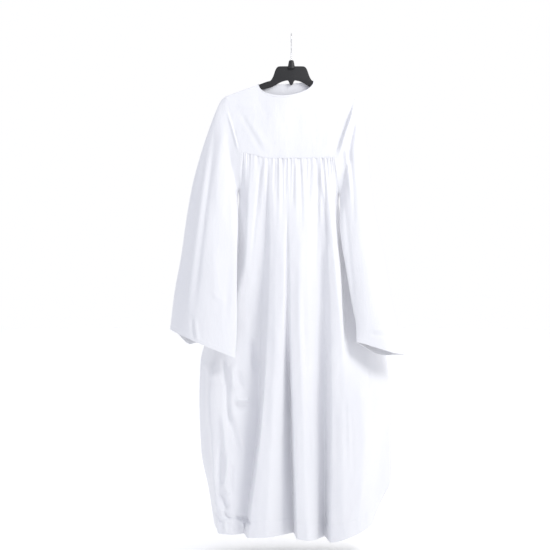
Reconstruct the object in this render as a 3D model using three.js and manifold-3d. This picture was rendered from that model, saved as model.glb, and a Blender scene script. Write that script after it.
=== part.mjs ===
// Baptismal gown on a hanger.
// Millimetres, +Z up, the front faces -Y; left and right are as seen from the front.
// The origin is the inside top of the hook, where a rail or peg carries it.
import * as THREE from 'three';
import { mergeVertices } from 'three/addons/utils/BufferGeometryUtils.js';
import Module from 'manifold-3d';

// ---------------------------------------------------------------- driving dimensions
const WALL = 1.5;                 // cloth, with its seam allowance and weave
const SEAM_GAP = 0.3;             // between the edges of two sewn pieces
const ARMHOLE_GAP = 0.35;         // between an armhole edge and the sleeve head
const SEAT_GAP = 0.85;            // between the hanger's arm and the cloth on it

const HANGER = {
  thickness: 9, bevelDepth: 3, bevelWidth: 2, halfWidth: 200, armHeight: 19,
  armStart: 70, armStartZ: -148, armSlope: 0.37,
};
const BOSS = { topZ: -83, bottomZ: -108, topRadius: 7.5, bottomRadius: 12.5, sides: 24 };
const HOOK = { wire: 1.75, bend: 20, stemTop: -58, tipAngle: -38, halfSides: 4, steps: 34 };
const BORE = { radius: 2.05, depth: 15, sides: 16 };

const NECK = { centre: -16, halfWidth: 87, drop: 43, backDrop: 4, drape: 6, drapeLength: 110 };
const NECK_TURNS = [0, 2, 5, 10, 20, 36, 54, 72, 90];  // degrees round the neckline, one half
const SHOULDER = { left: -206, right: 204, round: 7.4, columns: 4 };
const YOKE = {
  seamZ: -395, leftRise: 17, rightRise: 2, riseWidth: 95, swell: 22, swellLength: 245, columns: 24,
};
const GATHER = { depth: 2.6, front: 17, backHalf: 9, length: 190, unevenLength: 70 };
const UNDERARM_ROW = 0.096;       // share of the skirt's length from yoke seam to underarm
const SPAN_COLUMNS = 4;           // wall columns between two neighbouring folds
const SLEEVE_COLUMNS = 14;        // of each sleeve half, from its outer to its inner fold
const ARMHOLE_YOKE_COLUMNS = 9;   // of those columns, the ones along the yoke
const FOLD_SHARE = 0.0016;        // of a sleeve's way round, left free at each end of a half
const FACE = { outer: 0.34, inner: 0.74 };    // places on a sleeve's face, from fold to fold

// Armhole edge: straight from the shoulder to the yoke seam, then to the underarm.
const ARMHOLE = {
  left: { shoulder: SHOULDER.left, yoke: -158, yokeZ: YOKE.seamZ + YOKE.leftRise, underarm: -166 },
  right: { shoulder: SHOULDER.right, yoke: 134, yokeZ: YOKE.seamZ + YOKE.rightRise, underarm: 150 },
};

// Rows of the yoke, as shares of its height, close together over the shoulder.
const YOKE_ROWS = [0, 0.006, 0.018, 0.036, 0.1, 0.24, 0.45, 0.72, 1];

// Rows of a skirt, as shares of its length, close together where it is gathered.
const SKIRT_ROWS = [
  0, 0.016, 0.036, 0.058, 0.078, UNDERARM_ROW, 0.14, 0.2, 0.28, 0.38, 0.48, 0.58, 0.68, 0.78, 0.89, 1,
];

// Side seams: height and place of each row.
const LEFT_SEAM = [
  { z: -491, x: -166, y: 0 },
  { z: -520, x: -165.6, y: 1 },
  { z: -560, x: -169, y: 3 },
  { z: -620, x: -183, y: 6 },
  { z: -700, x: -202, y: 10 },
  { z: -850, x: -240, y: 18 },
  { z: -960, x: -270, y: 24 },
  { z: -1036, x: -288, y: 28 },
  { z: -1150, x: -292, y: 32 },
  { z: -1320, x: -286, y: 37 },
  { z: -1436, x: -264, y: 40 },
  { z: -1553, x: -245, y: 42 },
];
const RIGHT_SEAM = [
  { z: -502, x: 150, y: 0 },
  { z: -530, x: 149.6, y: 1 },
  { z: -570, x: 154, y: 3 },
  { z: -650, x: 174, y: 8 },
  { z: -780, x: 217, y: 14 },
  { z: -900, x: 262, y: 20 },
  { z: -1040, x: 306, y: 28 },
  { z: -1150, x: 316, y: 32 },
  { z: -1300, x: 320, y: 36 },
  { z: -1414, x: 318, y: 39 },
  { z: -1468, x: 294, y: 40 },
  { z: -1527, x: 266, y: 42 },
];

// Folds of the front, left to right. x is given at the yoke seam, the high, middle and low
// levels and the hem; y from the high level down, because the yoke sets it at the seam.
const LEVELS = [-YOKE.seamZ, 650, 900, 1150, 1560];
const FRONT_FOLDS = [
  { name: 'left turn', x: [-155, -160, -236, -272, -234], y: [-6, 5, -12, -22] },
  { name: 'left edge ridge', x: [-146, -150, -206, -250, -224], y: [-25, -20, -56, -76] },
  { name: 'left panel', x: [-128, -136, -160, -190, -188], y: [-46, -42, -62, -80] },
  { name: 'left trough', x: [-95, -90, -102, -102, -149], y: [-40, -32, -28, -60] },
  { name: 'left flank', x: [-66, -64, -73, -86, -134], y: [-58, -74, -98, -114] },
  { name: 'left ridge', x: [-43, -44, -50, -60, -84], y: [-62, -82, -102, -120] },
  { name: 'wedge lip', x: [-25, -24, -28, -33, -35], y: [-60, -80, -88, -86] },
  { name: 'centre wedge', x: [-14, -14, -13, -6, 6], y: [-57, -66, -48, -40] },
  { name: 'wedge edge', x: [-4, -4, -4, 3, 17], y: [-61, -82, -103, -119] },
  { name: 'right ridge', x: [18, 20, 22, 27, 44], y: [-64, -86, -108, -124] },
  { name: 'right flank', x: [44, 46, 48, 54, 70], y: [-60, -78, -92, -102] },
  { name: 'right trough', x: [74, 90, 96, 102, 103], y: [-42, -44, -44, -42] },
  { name: 'panel lip', x: [94, 112, 121, 123, 119], y: [-57, -78, -100, -112] },
  { name: 'panel ridge', x: [108, 127, 146, 156, 158], y: [-60, -84, -104, -120] },
  { name: 'right panel', x: [118, 138, 168, 205, 200], y: [-48, -46, -98, -108] },
  { name: 'sleeve hollow', x: [125, 145, 190, 252, 230], y: [-30, -14, -72, -78] },
  { name: 'right turn', x: [130, 148, 228, 292, 252], y: [-8, 0, -20, -20] },
];
const BACK_LEFT_FOLDS = [
  { name: 'left turn', x: [-154, -160, -240, -275, -236], y: [22, 48, 62, 72] },
  { name: 'outer ridge', x: [-140, -142, -200, -232, -212], y: [48, 72, 92, 108] },
  { name: 'outer trough', x: [-112, -114, -150, -168, -164], y: [40, 50, 48, 46] },
  { name: 'middle ridge', x: [-82, -82, -104, -112, -112], y: [60, 82, 102, 120] },
  { name: 'inner trough', x: [-52, -52, -62, -64, -64], y: [44, 50, 54, 50] },
  { name: 'inner ridge', x: [-32, -32, -36, -38, -38], y: [56, 74, 92, 108] },
];
const BACK_RIGHT_FOLDS = [
  { name: 'inner ridge', x: [6, 6, 10, 14, 12], y: [60, 80, 100, 116] },
  { name: 'inner trough', x: [36, 36, 46, 54, 56], y: [44, 52, 52, 46] },
  { name: 'middle ridge', x: [64, 66, 88, 98, 100], y: [60, 82, 104, 122] },
  { name: 'outer trough', x: [90, 96, 130, 150, 150], y: [42, 52, 50, 52] },
  { name: 'outer ridge', x: [114, 124, 180, 210, 200], y: [50, 74, 94, 106] },
  { name: 'right turn', x: [128, 144, 238, 280, 242], y: [24, 46, 60, 66] },
];
const BACK_CENTRE = { name: 'centre back', x: [-16, -16, -16, -16, -16], y: [52, 66, 78, 88] };

// Hem height along the front and along the back, by x.
const HEM = [
  { x: -245, z: -1553 },
  { x: -160, z: -1558 },
  { x: -80, z: -1556 },
  { x: 18, z: -1561 },
  { x: 115, z: -1572 },
  { x: 178, z: -1556 },
  { x: 266, z: -1527 },
];

// Sleeve rings from below the shoulder to the cuff: places [x, y, z] of the outer and inner
// folds, and y of the front and back faces, first near the outer and then near the inner fold.
const LEFT_SLEEVE = [
  { out: [-221, 0, -211], in: [-169, -3, -510], front: [-18, -22], back: [18, 18] },
  { out: [-236, 0, -242], in: [-168.5, -14, -545], front: [-24, -28], back: [20, 10] },
  { out: [-258, 0, -300], in: [-167, -29, -600], front: [-32, -38], back: [20, 0] },
  { out: [-286, 0, -385], in: [-169, -45, -670], front: [-40, -49], back: [14, -14] },
  { out: [-311, -2, -480], in: [-170, -55, -740], front: [-50, -59], back: [6, -26] },
  { out: [-330, -6, -590], in: [-170, -65, -810], front: [-61, -71], back: [-6, -36] },
  { out: [-345, -10, -700], in: [-169, -72, -875], front: [-72, -83], back: [-16, -46] },
  { out: [-366, -17, -820], in: [-170, -79, -945], front: [-84, -94], back: [-29, -56] },
  { out: [-378, -26, -929], in: [-175, -88, -1012], front: [-96, -104], back: [-43, -66] },
];
const RIGHT_SLEEVE = [
  { out: [212, 0, -208], in: [153.5, -4, -520], front: [-18, -22], back: [18, 18] },
  { out: [219, 0, -242], in: [152.5, -15, -552], front: [-24, -28], back: [20, 10] },
  { out: [227, 0, -305], in: [151.5, -30, -602], front: [-31, -39], back: [20, 2] },
  { out: [236, 0, -395], in: [157, -43, -665], front: [-39, -49], back: [14, -12] },
  { out: [246, -2, -490], in: [167, -51, -725], front: [-47, -58], back: [8, -22] },
  { out: [262, -6, -595], in: [178, -62, -795], front: [-57, -69], back: [-2, -33] },
  { out: [284, -12, -695], in: [190, -72, -865], front: [-67, -81], back: [-14, -43] },
  { out: [310, -20, -842], in: [199, -81, -925], front: [-79, -91], back: [-27, -55] },
  { out: [350, -34, -990], in: [199, -91, -971], front: [-93, -99], back: [-48, -67] },
];

// ---------------------------------------------------------------- curves through table rows
const { clamp, degToRad, lerp, smoothstep } = THREE.MathUtils;

// Cubic value through rows of rising position whose slope never overshoots a row.
function smoothThrough(positions, values, at) {
  const last = positions.length - 1;
  let i = 0;
  while (i < last - 1 && at > positions[i + 1]) i += 1;
  const rise = (k) => (values[k + 1] - values[k]) / (positions[k + 1] - positions[k]);
  const slope = (k) => {
    if (k === 0) return rise(0);
    if (k === last) return rise(last - 1);
    const before = rise(k - 1);
    const after = rise(k);
    return before * after <= 0 ? 0 : (2 * before * after) / (before + after);
  };
  const span = positions[i + 1] - positions[i];
  const t = clamp((at - positions[i]) / span, 0, 1);
  const bend = t * t * (3 - 2 * t);
  const start = t * (1 - t) * (1 - t) * span * slope(i);
  const end = t * t * (t - 1) * span * slope(i + 1);
  return lerp(values[i], values[i + 1], bend) + start + end;
}

const column = (rows, key) => rows.map((row) => row[key]);
const counting = (rows) => rows.map((row, index) => index);

// ---------------------------------------------------------------- closed cloth walls
// Triangles of a band between two rows of points.
function bandTriangles(upper, lower) {
  const triangles = [];
  for (let c = 0; c + 1 < upper.length; c += 1) {
    triangles.push([upper[c], upper[c + 1], lower[c]], [upper[c + 1], lower[c + 1], lower[c]]);
  }
  return triangles;
}

// Direction square to the cloth at (u, v), by the slopes of its outer face.
function clothNormal(pointAt, u, v, side) {
  const step = 0.004;
  const along = pointAt(Math.min(u + step, 1), v).sub(pointAt(Math.max(u - step, 0), v));
  const down = pointAt(u, Math.min(v + step, 1)).sub(pointAt(u, Math.max(v - step, 0)));
  return along.cross(down).normalize().multiplyScalar(side);
}

// Inner point of the wall, kept from leaning over a seam into the neighbouring piece.
function innerPoint(outer, normal, seams) {
  const inward = normal.clone().negate();
  for (const seam of seams) {
    const over = inward.dot(seam);
    if (over > 0) inward.addScaledVector(seam, -over);
  }
  return outer.clone().addScaledVector(inward.normalize(), WALL);
}

// Closed wall of cloth. pointAt(u, v) gives its outer face, u across and v down; side is +1
// where u cross v points out of the garment; seamsAt(u, v) lists the directions of seams.
function clothWall({ rows, columns, pointAt, side, seamsAt }) {
  const points = [];
  const outer = [];
  const inner = [];
  for (const v of rows) {
    const outerRow = [];
    const innerRow = [];
    for (let c = 0; c <= columns; c += 1) {
      const u = c / columns;
      const point = pointAt(u, v);
      const normal = clothNormal(pointAt, u, v, side);
      outerRow.push(points.push(point) - 1);
      innerRow.push(points.push(innerPoint(point, normal, seamsAt(u, v))) - 1);
    }
    outer.push(outerRow);
    inner.push(innerRow);
  }

  const triangles = [];
  for (let r = 0; r + 1 < rows.length; r += 1) {
    triangles.push(...bandTriangles(outer[r], outer[r + 1]));
    triangles.push(...bandTriangles(inner[r], inner[r + 1]).map(([a, b, c]) => [a, c, b]));
  }
  const last = rows.length - 1;
  const edge = (grid, at) => grid.map((row) => row.at(at));
  triangles.push(...bandTriangles(inner[0], outer[0]));
  triangles.push(...bandTriangles(outer[last], inner[last]));
  triangles.push(...bandTriangles(edge(outer, 0), edge(inner, 0)));
  triangles.push(...bandTriangles(edge(inner, -1), edge(outer, -1)));

  const geometry = new THREE.BufferGeometry().setFromPoints(points);
  geometry.setIndex(triangles.flatMap(([a, b, c]) => (side > 0 ? [a, b, c] : [a, c, b])));
  geometry.computeVertexNormals();
  return geometry;
}

const TO_LEFT = new THREE.Vector3(-1, 0, 0);
const TO_RIGHT = new THREE.Vector3(1, 0, 0);
const TO_FRONT = new THREE.Vector3(0, -1, 0);
const TO_BACK = new THREE.Vector3(0, 1, 0);
const UP = new THREE.Vector3(0, 0, 1);
const DOWN = new THREE.Vector3(0, 0, -1);

// ---------------------------------------------------------------- shoulder line and yoke form
const armTop = (x) => HANGER.armStartZ - HANGER.armSlope * Math.max(Math.abs(x) - HANGER.armStart, 0);
const shoulderRidge = (x) => armTop(x) + SEAT_GAP + WALL;

// How far the cloth of the yoke lies from the plane of the hanger.
function yokeDepth(x, z) {
  const drop = Math.max(shoulderRidge(x) - z, 0);
  const over = 1 - Math.min(drop / SHOULDER.round, 1);
  const round = SHOULDER.round * Math.sqrt(1 - over * over);
  return SEAM_GAP / 2 + round + YOKE.swell * smoothstep(drop, 0, YOKE.swellLength);
}

const NECK_LEFT = NECK.centre - NECK.halfWidth;
const NECK_RIGHT = NECK.centre + NECK.halfWidth;

// Height of the yoke's upper edge: the shoulder seam, and the neckline between the neck points.
function yokeTop(x, neckDrop) {
  const across = (x - NECK.centre) / NECK.halfWidth;
  if (Math.abs(across) >= 1) return shoulderRidge(x);
  const chord = lerp(shoulderRidge(NECK_LEFT), shoulderRidge(NECK_RIGHT), (across + 1) / 2);
  return chord - neckDrop * Math.sqrt(1 - across * across);
}

// Height of the seam between yoke and skirt, straight between the yoke's columns.
function yokeSeam(x) {
  const smoothSeam = (at) => {
    const left = smoothstep(-at, -ARMHOLE.left.yoke - YOKE.riseWidth, -ARMHOLE.left.yoke);
    const right = smoothstep(at, ARMHOLE.right.yoke - YOKE.riseWidth, ARMHOLE.right.yoke);
    return YOKE.seamZ + YOKE.leftRise * left + YOKE.rightRise * right;
  };
  const step = (ARMHOLE.right.yoke - ARMHOLE.left.yoke) / YOKE.columns;
  const index = (x - ARMHOLE.left.yoke) / step;
  const before = ARMHOLE.left.yoke + Math.floor(index) * step;
  return lerp(smoothSeam(before), smoothSeam(before + step), index - Math.floor(index));
}

// Place across of an armhole edge at a height between the shoulder and the yoke seam.
function armholeX(hole, z) {
  const share = (shoulderRidge(hole.shoulder) - z) / (shoulderRidge(hole.shoulder) - hole.yokeZ);
  return lerp(hole.shoulder, hole.yoke, clamp(share, 0, 1));
}

// Point of a yoke's outer face on the line from its upper edge at xTop to its seam at xSeam.
function yokePoint({ xTop, xSeam, v, facing, neckDrop }) {
  const top = yokeTop(xTop, neckDrop);
  const z = lerp(top, yokeSeam(xSeam), v);
  const x = lerp(xTop, xSeam, v);
  const across = clamp((x - NECK.centre) / NECK.halfWidth, -1, 1);
  const below = clamp((top - z) / NECK.drapeLength, 0, 1);
  const drape = facing < 0 ? NECK.drape * (1 - across * across) ** 2 * (1 - below) ** 2 : 0;
  return new THREE.Vector3(x, facing * (yokeDepth(x, z) + drape), z);
}

// Columns of a yoke: even steps on each shoulder seam, closer ones where the neckline turns.
function yokeColumns(from, to) {
  const steps = SHOULDER.columns;
  const shares = [...Array(steps)].map((step, index) => index / steps);
  const shoulder = (start, end) => shares.map((share) => lerp(start, end, share));
  const neck = [...NECK_TURNS, ...NECK_TURNS.map((degrees) => 180 - degrees).reverse().slice(1)];
  const columns = [
    ...shoulder(SHOULDER.left, NECK_LEFT),
    ...neck.map((degrees) => NECK.centre - NECK.halfWidth * Math.cos(degToRad(degrees))),
    ...shoulder(SHOULDER.right, NECK_RIGHT).reverse(),
  ];
  return columns.filter((x) => x > from - SEAM_GAP && x < to + SEAM_GAP);
}

function yokePanel({ from, to, seamFrom, seamTo, facing, neckDrop }) {
  const tops = yokeColumns(from, to);
  const positions = counting(tops);
  const columns = tops.length - 1;
  const pointAt = (u, v) => {
    const index = u * columns;
    const xTop = clamp(smoothThrough(positions, tops, index), from, to);
    return yokePoint({ xTop, xSeam: lerp(seamFrom, seamTo, u), v, facing, neckDrop });
  };
  const seamsAt = (u, v) => [
    ...(u === 0 ? [TO_LEFT] : []),
    ...(u === 1 ? [TO_RIGHT] : []),
    ...(v === 0 ? [facing < 0 ? TO_BACK : TO_FRONT] : []),
    ...(v === 1 ? [DOWN] : []),
  ];
  return clothWall({ rows: YOKE_ROWS, columns, pointAt, side: facing, seamsAt });
}

function yokeFront() {
  return yokePanel({
    from: SHOULDER.left, to: SHOULDER.right, facing: -1, neckDrop: NECK.drop,
    seamFrom: ARMHOLE.left.yoke, seamTo: ARMHOLE.right.yoke,
  });
}

function yokeBack(half) {
  const left = half === 'left';
  const centre = NECK.centre + (left ? -SEAM_GAP / 2 : SEAM_GAP / 2);
  return yokePanel({
    from: left ? SHOULDER.left : centre, to: left ? centre : SHOULDER.right, facing: 1,
    neckDrop: NECK.backDrop, seamFrom: left ? ARMHOLE.left.yoke : centre,
    seamTo: left ? centre : ARMHOLE.right.yoke,
  });
}

// ---------------------------------------------------------------- skirt
// Side edge of a skirt: along the armhole to the underarm, then down the side seam.
function skirtEdge(hole, seam, facing, z) {
  const underarm = seam[0].z;
  if (z > underarm) {
    const share = clamp((hole.yokeZ - z) / (hole.yokeZ - underarm), 0, 1);
    const depth = yokeDepth(hole.yoke, hole.yokeZ) * Math.sqrt(1 - share * share);
    return { x: lerp(hole.yoke, hole.underarm, share), y: facing * Math.max(depth, SEAM_GAP / 2) };
  }
  const drops = seam.map((row) => -row.z);
  return {
    x: smoothThrough(drops, column(seam, 'x'), -z),
    y: smoothThrough(drops, column(seam, 'y'), -z) + (facing * SEAM_GAP) / 2,
  };
}

function foldPlace(fold, facing, z, shift) {
  const x = smoothThrough(LEVELS, fold.x, -z) + shift;
  const depths = [facing * yokeDepth(fold.x[0], yokeSeam(fold.x[0])), ...fold.y];
  return { x, y: smoothThrough(LEVELS, depths, -z) };
}

// Uneven gathers: each has its own width, depth and length below the yoke.
function gatherDepth(count, u, below) {
  const turns = 2 * Math.PI * count * u + 0.9 * Math.sin(2 * Math.PI * 2.7 * u + 1);
  const uneven = 0.72 + 0.28 * Math.sin(2 * Math.PI * 5.3 * u + 2);
  const length = GATHER.length + GATHER.unevenLength * Math.sin(2 * Math.PI * 3.9 * u);
  const fade = Math.max(1 - below / length, 0);
  const ends = smoothstep(Math.min(u, 1 - u), 0, 0.03);
  return GATHER.depth * uneven * fade * ends * Math.cos(turns);
}

// A skirt panel: edges and folds are places(z) from left to right, joined by a smooth curve.
function skirtPanel({ places, facing, gathers, sideLeft, sideRight }) {
  const spans = places.length - 1;
  const positions = counting(places);
  const hemDrops = column(HEM, 'x');
  const pointAt = (u, v) => {
    const at = u * spans;
    const topX = smoothThrough(positions, places.map((place) => place(YOKE.seamZ).x), at);
    const hemX = smoothThrough(positions, places.map((place) => place(HEM[2].z).x), at);
    const top = yokeSeam(topX) - SEAM_GAP;
    const z = lerp(top, smoothThrough(hemDrops, column(HEM, 'z'), hemX), v);
    const row = places.map((place) => place(z));
    const x = smoothThrough(positions, column(row, 'x'), at);
    const y = smoothThrough(positions, column(row, 'y'), at);
    return new THREE.Vector3(x, y + facing * gatherDepth(gathers, u, top - z), z);
  };
  const seamsAt = (u, v) => [
    ...(u === 0 ? [sideLeft(v)] : []),
    ...(u === 1 ? [sideRight(v)] : []),
    ...(v === 0 ? [UP] : []),
  ];
  const columns = spans * SPAN_COLUMNS;
  return clothWall({ rows: SKIRT_ROWS, columns, pointAt, side: facing, seamsAt });
}

const leftEdge = (facing) => (z) => skirtEdge(ARMHOLE.left, LEFT_SEAM, facing, z);
const rightEdge = (facing) => (z) => skirtEdge(ARMHOLE.right, RIGHT_SEAM, facing, z);
const acrossSeam = (facing, armholeSide) => (v) => {
  if (v < UNDERARM_ROW) return armholeSide;
  return facing < 0 ? TO_BACK : TO_FRONT;
};
const foldPlaces = (folds, facing) => folds.map((fold) => (z) => foldPlace(fold, facing, z, 0));

function skirtFront() {
  return skirtPanel({
    places: [leftEdge(-1), ...foldPlaces(FRONT_FOLDS, -1), rightEdge(-1)],
    facing: -1, gathers: GATHER.front,
    sideLeft: acrossSeam(-1, TO_LEFT), sideRight: acrossSeam(-1, TO_RIGHT),
  });
}

function skirtBack(half) {
  const left = half === 'left';
  const centre = (z) => foldPlace(BACK_CENTRE, 1, z, left ? -SEAM_GAP / 2 : SEAM_GAP / 2);
  const folds = foldPlaces(left ? BACK_LEFT_FOLDS : BACK_RIGHT_FOLDS, 1);
  return skirtPanel({
    places: left ? [leftEdge(1), ...folds, centre] : [centre, ...folds, rightEdge(1)],
    facing: 1, gathers: GATHER.backHalf,
    sideLeft: left ? acrossSeam(1, TO_LEFT) : () => TO_LEFT,
    sideRight: left ? () => TO_RIGHT : acrossSeam(1, TO_RIGHT),
  });
}

// ---------------------------------------------------------------- sleeves
// Point of the armhole ring; t runs from the shoulder (0) to the underarm (1) on one face.
function armholePoint(hole, seam, facing, t, outward) {
  const yokeShare = ARMHOLE_YOKE_COLUMNS / SLEEVE_COLUMNS;
  const shoulderZ = shoulderRidge(hole.shoulder);
  const underarm = seam[0].z;
  if (t <= yokeShare) {
    const z = lerp(shoulderZ, hole.yokeZ, (t / yokeShare) ** 1.6);
    const x = armholeX(hole, z);
    return new THREE.Vector3(x + outward * ARMHOLE_GAP, facing * yokeDepth(x, z), z);
  }
  const share = 1 - (1 - (t - yokeShare) / (1 - yokeShare)) ** 1.8;
  const edge = skirtEdge(hole, seam, facing, lerp(hole.yokeZ, underarm + SEAM_GAP / 10, share));
  return new THREE.Vector3(edge.x + outward * ARMHOLE_GAP, edge.y, lerp(hole.yokeZ, underarm, share));
}

// Closed curve of a sleeve section through its two folds and its front and back faces.
function sleeveSection(ring) {
  const place = (share, y) => new THREE.Vector3(
    lerp(ring.out[0], ring.in[0], share), y, lerp(ring.out[2], ring.in[2], share),
  );
  return new THREE.CatmullRomCurve3([
    place(0, ring.out[1]), place(FACE.outer, ring.front[0]), place(FACE.inner, ring.front[1]),
    place(1, ring.in[1]), place(FACE.inner, ring.back[1]), place(FACE.outer, ring.back[0]),
  ], true, 'centripetal');
}

// Front or back half of a sleeve, between its outer and its inner fold.
function sleeveHalf(side, half) {
  const left = side === 'left';
  const front = half === 'front';
  const hole = left ? ARMHOLE.left : ARMHOLE.right;
  const seam = left ? LEFT_SEAM : RIGHT_SEAM;
  const outward = left ? -1 : 1;
  const sections = (left ? LEFT_SLEEVE : RIGHT_SLEEVE).map(sleeveSection);
  const positions = counting([0, ...sections]);
  const pointAt = (u, v) => {
    const around = (front ? 0 : 0.5) + lerp(FOLD_SHARE, 0.5 - FOLD_SHARE, u);
    const t = front ? 2 * around : 2 - 2 * around;
    const first = armholePoint(hole, seam, front ? -1 : 1, t, outward);
    const places = [first, ...sections.map((section) => section.getPoint(around))];
    const through = (axis) => smoothThrough(positions, column(places, axis), v * sections.length);
    return new THREE.Vector3(through('x'), through('y'), through('z'));
  };
  const seamsAt = (u, v) => [
    ...(v === 0 ? [left ? TO_RIGHT : TO_LEFT] : []),
    ...(u === 0 || u === 1 ? [front ? TO_BACK : TO_FRONT] : []),
  ];
  const rows = positions.map((index) => index / sections.length);
  return clothWall({ rows, columns: SLEEVE_COLUMNS, pointAt, side: left ? 1 : -1, seamsAt });
}

// ---------------------------------------------------------------- hanger and hook
// Right half of the hanger's outline: crown, arm, rounded tip, lower edge and centre tab.
function hangerOutline() {
  const tip = HANGER.halfWidth;
  const tipTop = armTop(tip - 10);
  return [
    [38, -102], [44.5, -104.5], [50, -113], [56.5, -133], [62, -143.5], [66.5, -148.4], [75, armTop(75)],
    [tip - 10, tipTop], [tip - 3, tipTop - 4], [tip, tipTop - 9], [tip - 1, tipTop - 15],
    [tip - 6, tipTop - 19], [tip - 12, armTop(tip - 12) - HANGER.armHeight],
    [92, armTop(92) - HANGER.armHeight], [70, -170], [57, -165], [44, -157.5],
    [31.5, -150.5], [20, -147], [11, -145.5], [8, -149], [3.5, -161],
  ];
}

function solidFrom(wasm, geometry) {
  const bare = geometry.index ? geometry.toNonIndexed() : geometry;
  bare.deleteAttribute('normal');
  bare.deleteAttribute('uv');
  const merged = mergeVertices(bare, 1e-4);
  return new wasm.Manifold(new wasm.Mesh({
    numProp: 3,
    vertProperties: new Float32Array(merged.attributes.position.array),
    triVerts: new Uint32Array(merged.index.array),
  }));
}

function geometryFrom(solid) {
  const mesh = solid.getMesh();
  const geometry = new THREE.BufferGeometry();
  geometry.setAttribute('position', new THREE.BufferAttribute(mesh.vertProperties, mesh.numProp));
  geometry.setIndex(new THREE.BufferAttribute(mesh.triVerts, 1));
  geometry.computeVertexNormals();
  return geometry;
}

// Turned solid about the hook's axis from a closed list of (radius, height) corners.
function turned(corners, sides) {
  const profile = corners.map(([radius, height]) => new THREE.Vector2(radius, height));
  return new THREE.LatheGeometry(profile, sides).rotateX(Math.PI / 2);
}

async function hangerBody() {
  const wasm = await Module();
  wasm.setup();
  const half = hangerOutline();
  const outline = [...half, ...half.map(([x, z]) => [-x, z]).reverse()];
  const shape = new THREE.Shape(outline.map(([x, z]) => new THREE.Vector2(x, z)));
  const plate = new THREE.ExtrudeGeometry(shape, {
    depth: HANGER.thickness - 2 * HANGER.bevelDepth, bevelEnabled: true, bevelSegments: 1,
    bevelThickness: HANGER.bevelDepth, bevelSize: HANGER.bevelWidth,
    bevelOffset: -HANGER.bevelWidth,
  });
  plate.translate(0, 0, HANGER.bevelDepth - HANGER.thickness / 2).rotateX(Math.PI / 2);
  const boss = turned([
    [0, BOSS.bottomZ], [BOSS.bottomRadius, BOSS.bottomZ], [BOSS.topRadius, BOSS.topZ],
    [0, BOSS.topZ],
  ], BOSS.sides);
  const bore = turned([
    [0, BOSS.topZ - BORE.depth], [BORE.radius, BOSS.topZ - BORE.depth],
    [BORE.radius, BOSS.topZ + 1], [0, BOSS.topZ + 1],
  ], BORE.sides);
  const body = solidFrom(wasm, plate).add(solidFrom(wasm, boss)).subtract(solidFrom(wasm, bore));
  return geometryFrom(body);
}

// Wire hook: straight stem, a turn to the front, round over the rail and down behind it.
function hangerHook() {
  const centreZ = HOOK.wire - HOOK.bend;
  const onBend = (degrees) => {
    const angle = degToRad(degrees);
    return new THREE.Vector3(0, HOOK.bend * Math.cos(angle), centreZ + HOOK.bend * Math.sin(angle));
  };
  const route = [
    new THREE.Vector3(0, 0, BOSS.topZ - BORE.depth + SEAM_GAP),
    new THREE.Vector3(0, 0, (HOOK.stemTop + BOSS.topZ) / 2),
    new THREE.Vector3(0, 0, HOOK.stemTop),
    new THREE.Vector3(0, -HOOK.bend / 4, HOOK.stemTop + 12),
  ];
  for (let degrees = 215; degrees > HOOK.tipAngle; degrees -= 23) route.push(onBend(degrees));
  route.push(onBend(HOOK.tipAngle));
  const section = new THREE.Shape();
  section.absarc(0, 0, HOOK.wire, 0, 2 * Math.PI);
  return new THREE.ExtrudeGeometry(section, {
    steps: HOOK.steps, curveSegments: HOOK.halfSides, bevelEnabled: false,
    extrudePath: new THREE.CatmullRomCurve3(route, false, 'centripetal'),
  });
}

// ---------------------------------------------------------------- assembly
const cloth = () => new THREE.MeshStandardMaterial({ color: 0xf3f4fb, roughness: 0.8, metalness: 0 });
const plastic = () => new THREE.MeshStandardMaterial({ color: 0x1b1c1f, roughness: 0.5, metalness: 0 });
const wire = () => new THREE.MeshStandardMaterial({ color: 0xc9cace, roughness: 0.25, metalness: 1 });

function named(name, geometry, material) {
  const mesh = new THREE.Mesh(geometry, material);
  mesh.name = name;
  return mesh;
}

const gown = new THREE.Group();
gown.add(
  named('yoke_front', yokeFront(), cloth()),
  named('yoke_back_left', yokeBack('left'), cloth()),
  named('yoke_back_right', yokeBack('right'), cloth()),
  named('skirt_front', skirtFront(), cloth()),
  named('skirt_back_left', skirtBack('left'), cloth()),
  named('skirt_back_right', skirtBack('right'), cloth()),
  named('sleeve_left_front', sleeveHalf('left', 'front'), cloth()),
  named('sleeve_left_back', sleeveHalf('left', 'back'), cloth()),
  named('sleeve_right_front', sleeveHalf('right', 'front'), cloth()),
  named('sleeve_right_back', sleeveHalf('right', 'back'), cloth()),
);

const hangerWithHook = new THREE.Group();
hangerWithHook.add(
  named('hanger', await hangerBody(), plastic()),
  named('hanger_hook', hangerHook(), wire()),
);

const part = new THREE.Group();
part.add(gown, hangerWithHook);

export default part;
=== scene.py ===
"""Looks of the baptismal gown on its hanger: metres, +Z up, the front faces -Y.

Left and right are as seen from the front. Cloth sizes are written in millimetres and scaled
by MM. Each cloth piece is a thin shell on the form of its solid, with its creases laid on.
"""
import math
from functools import partial

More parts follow.
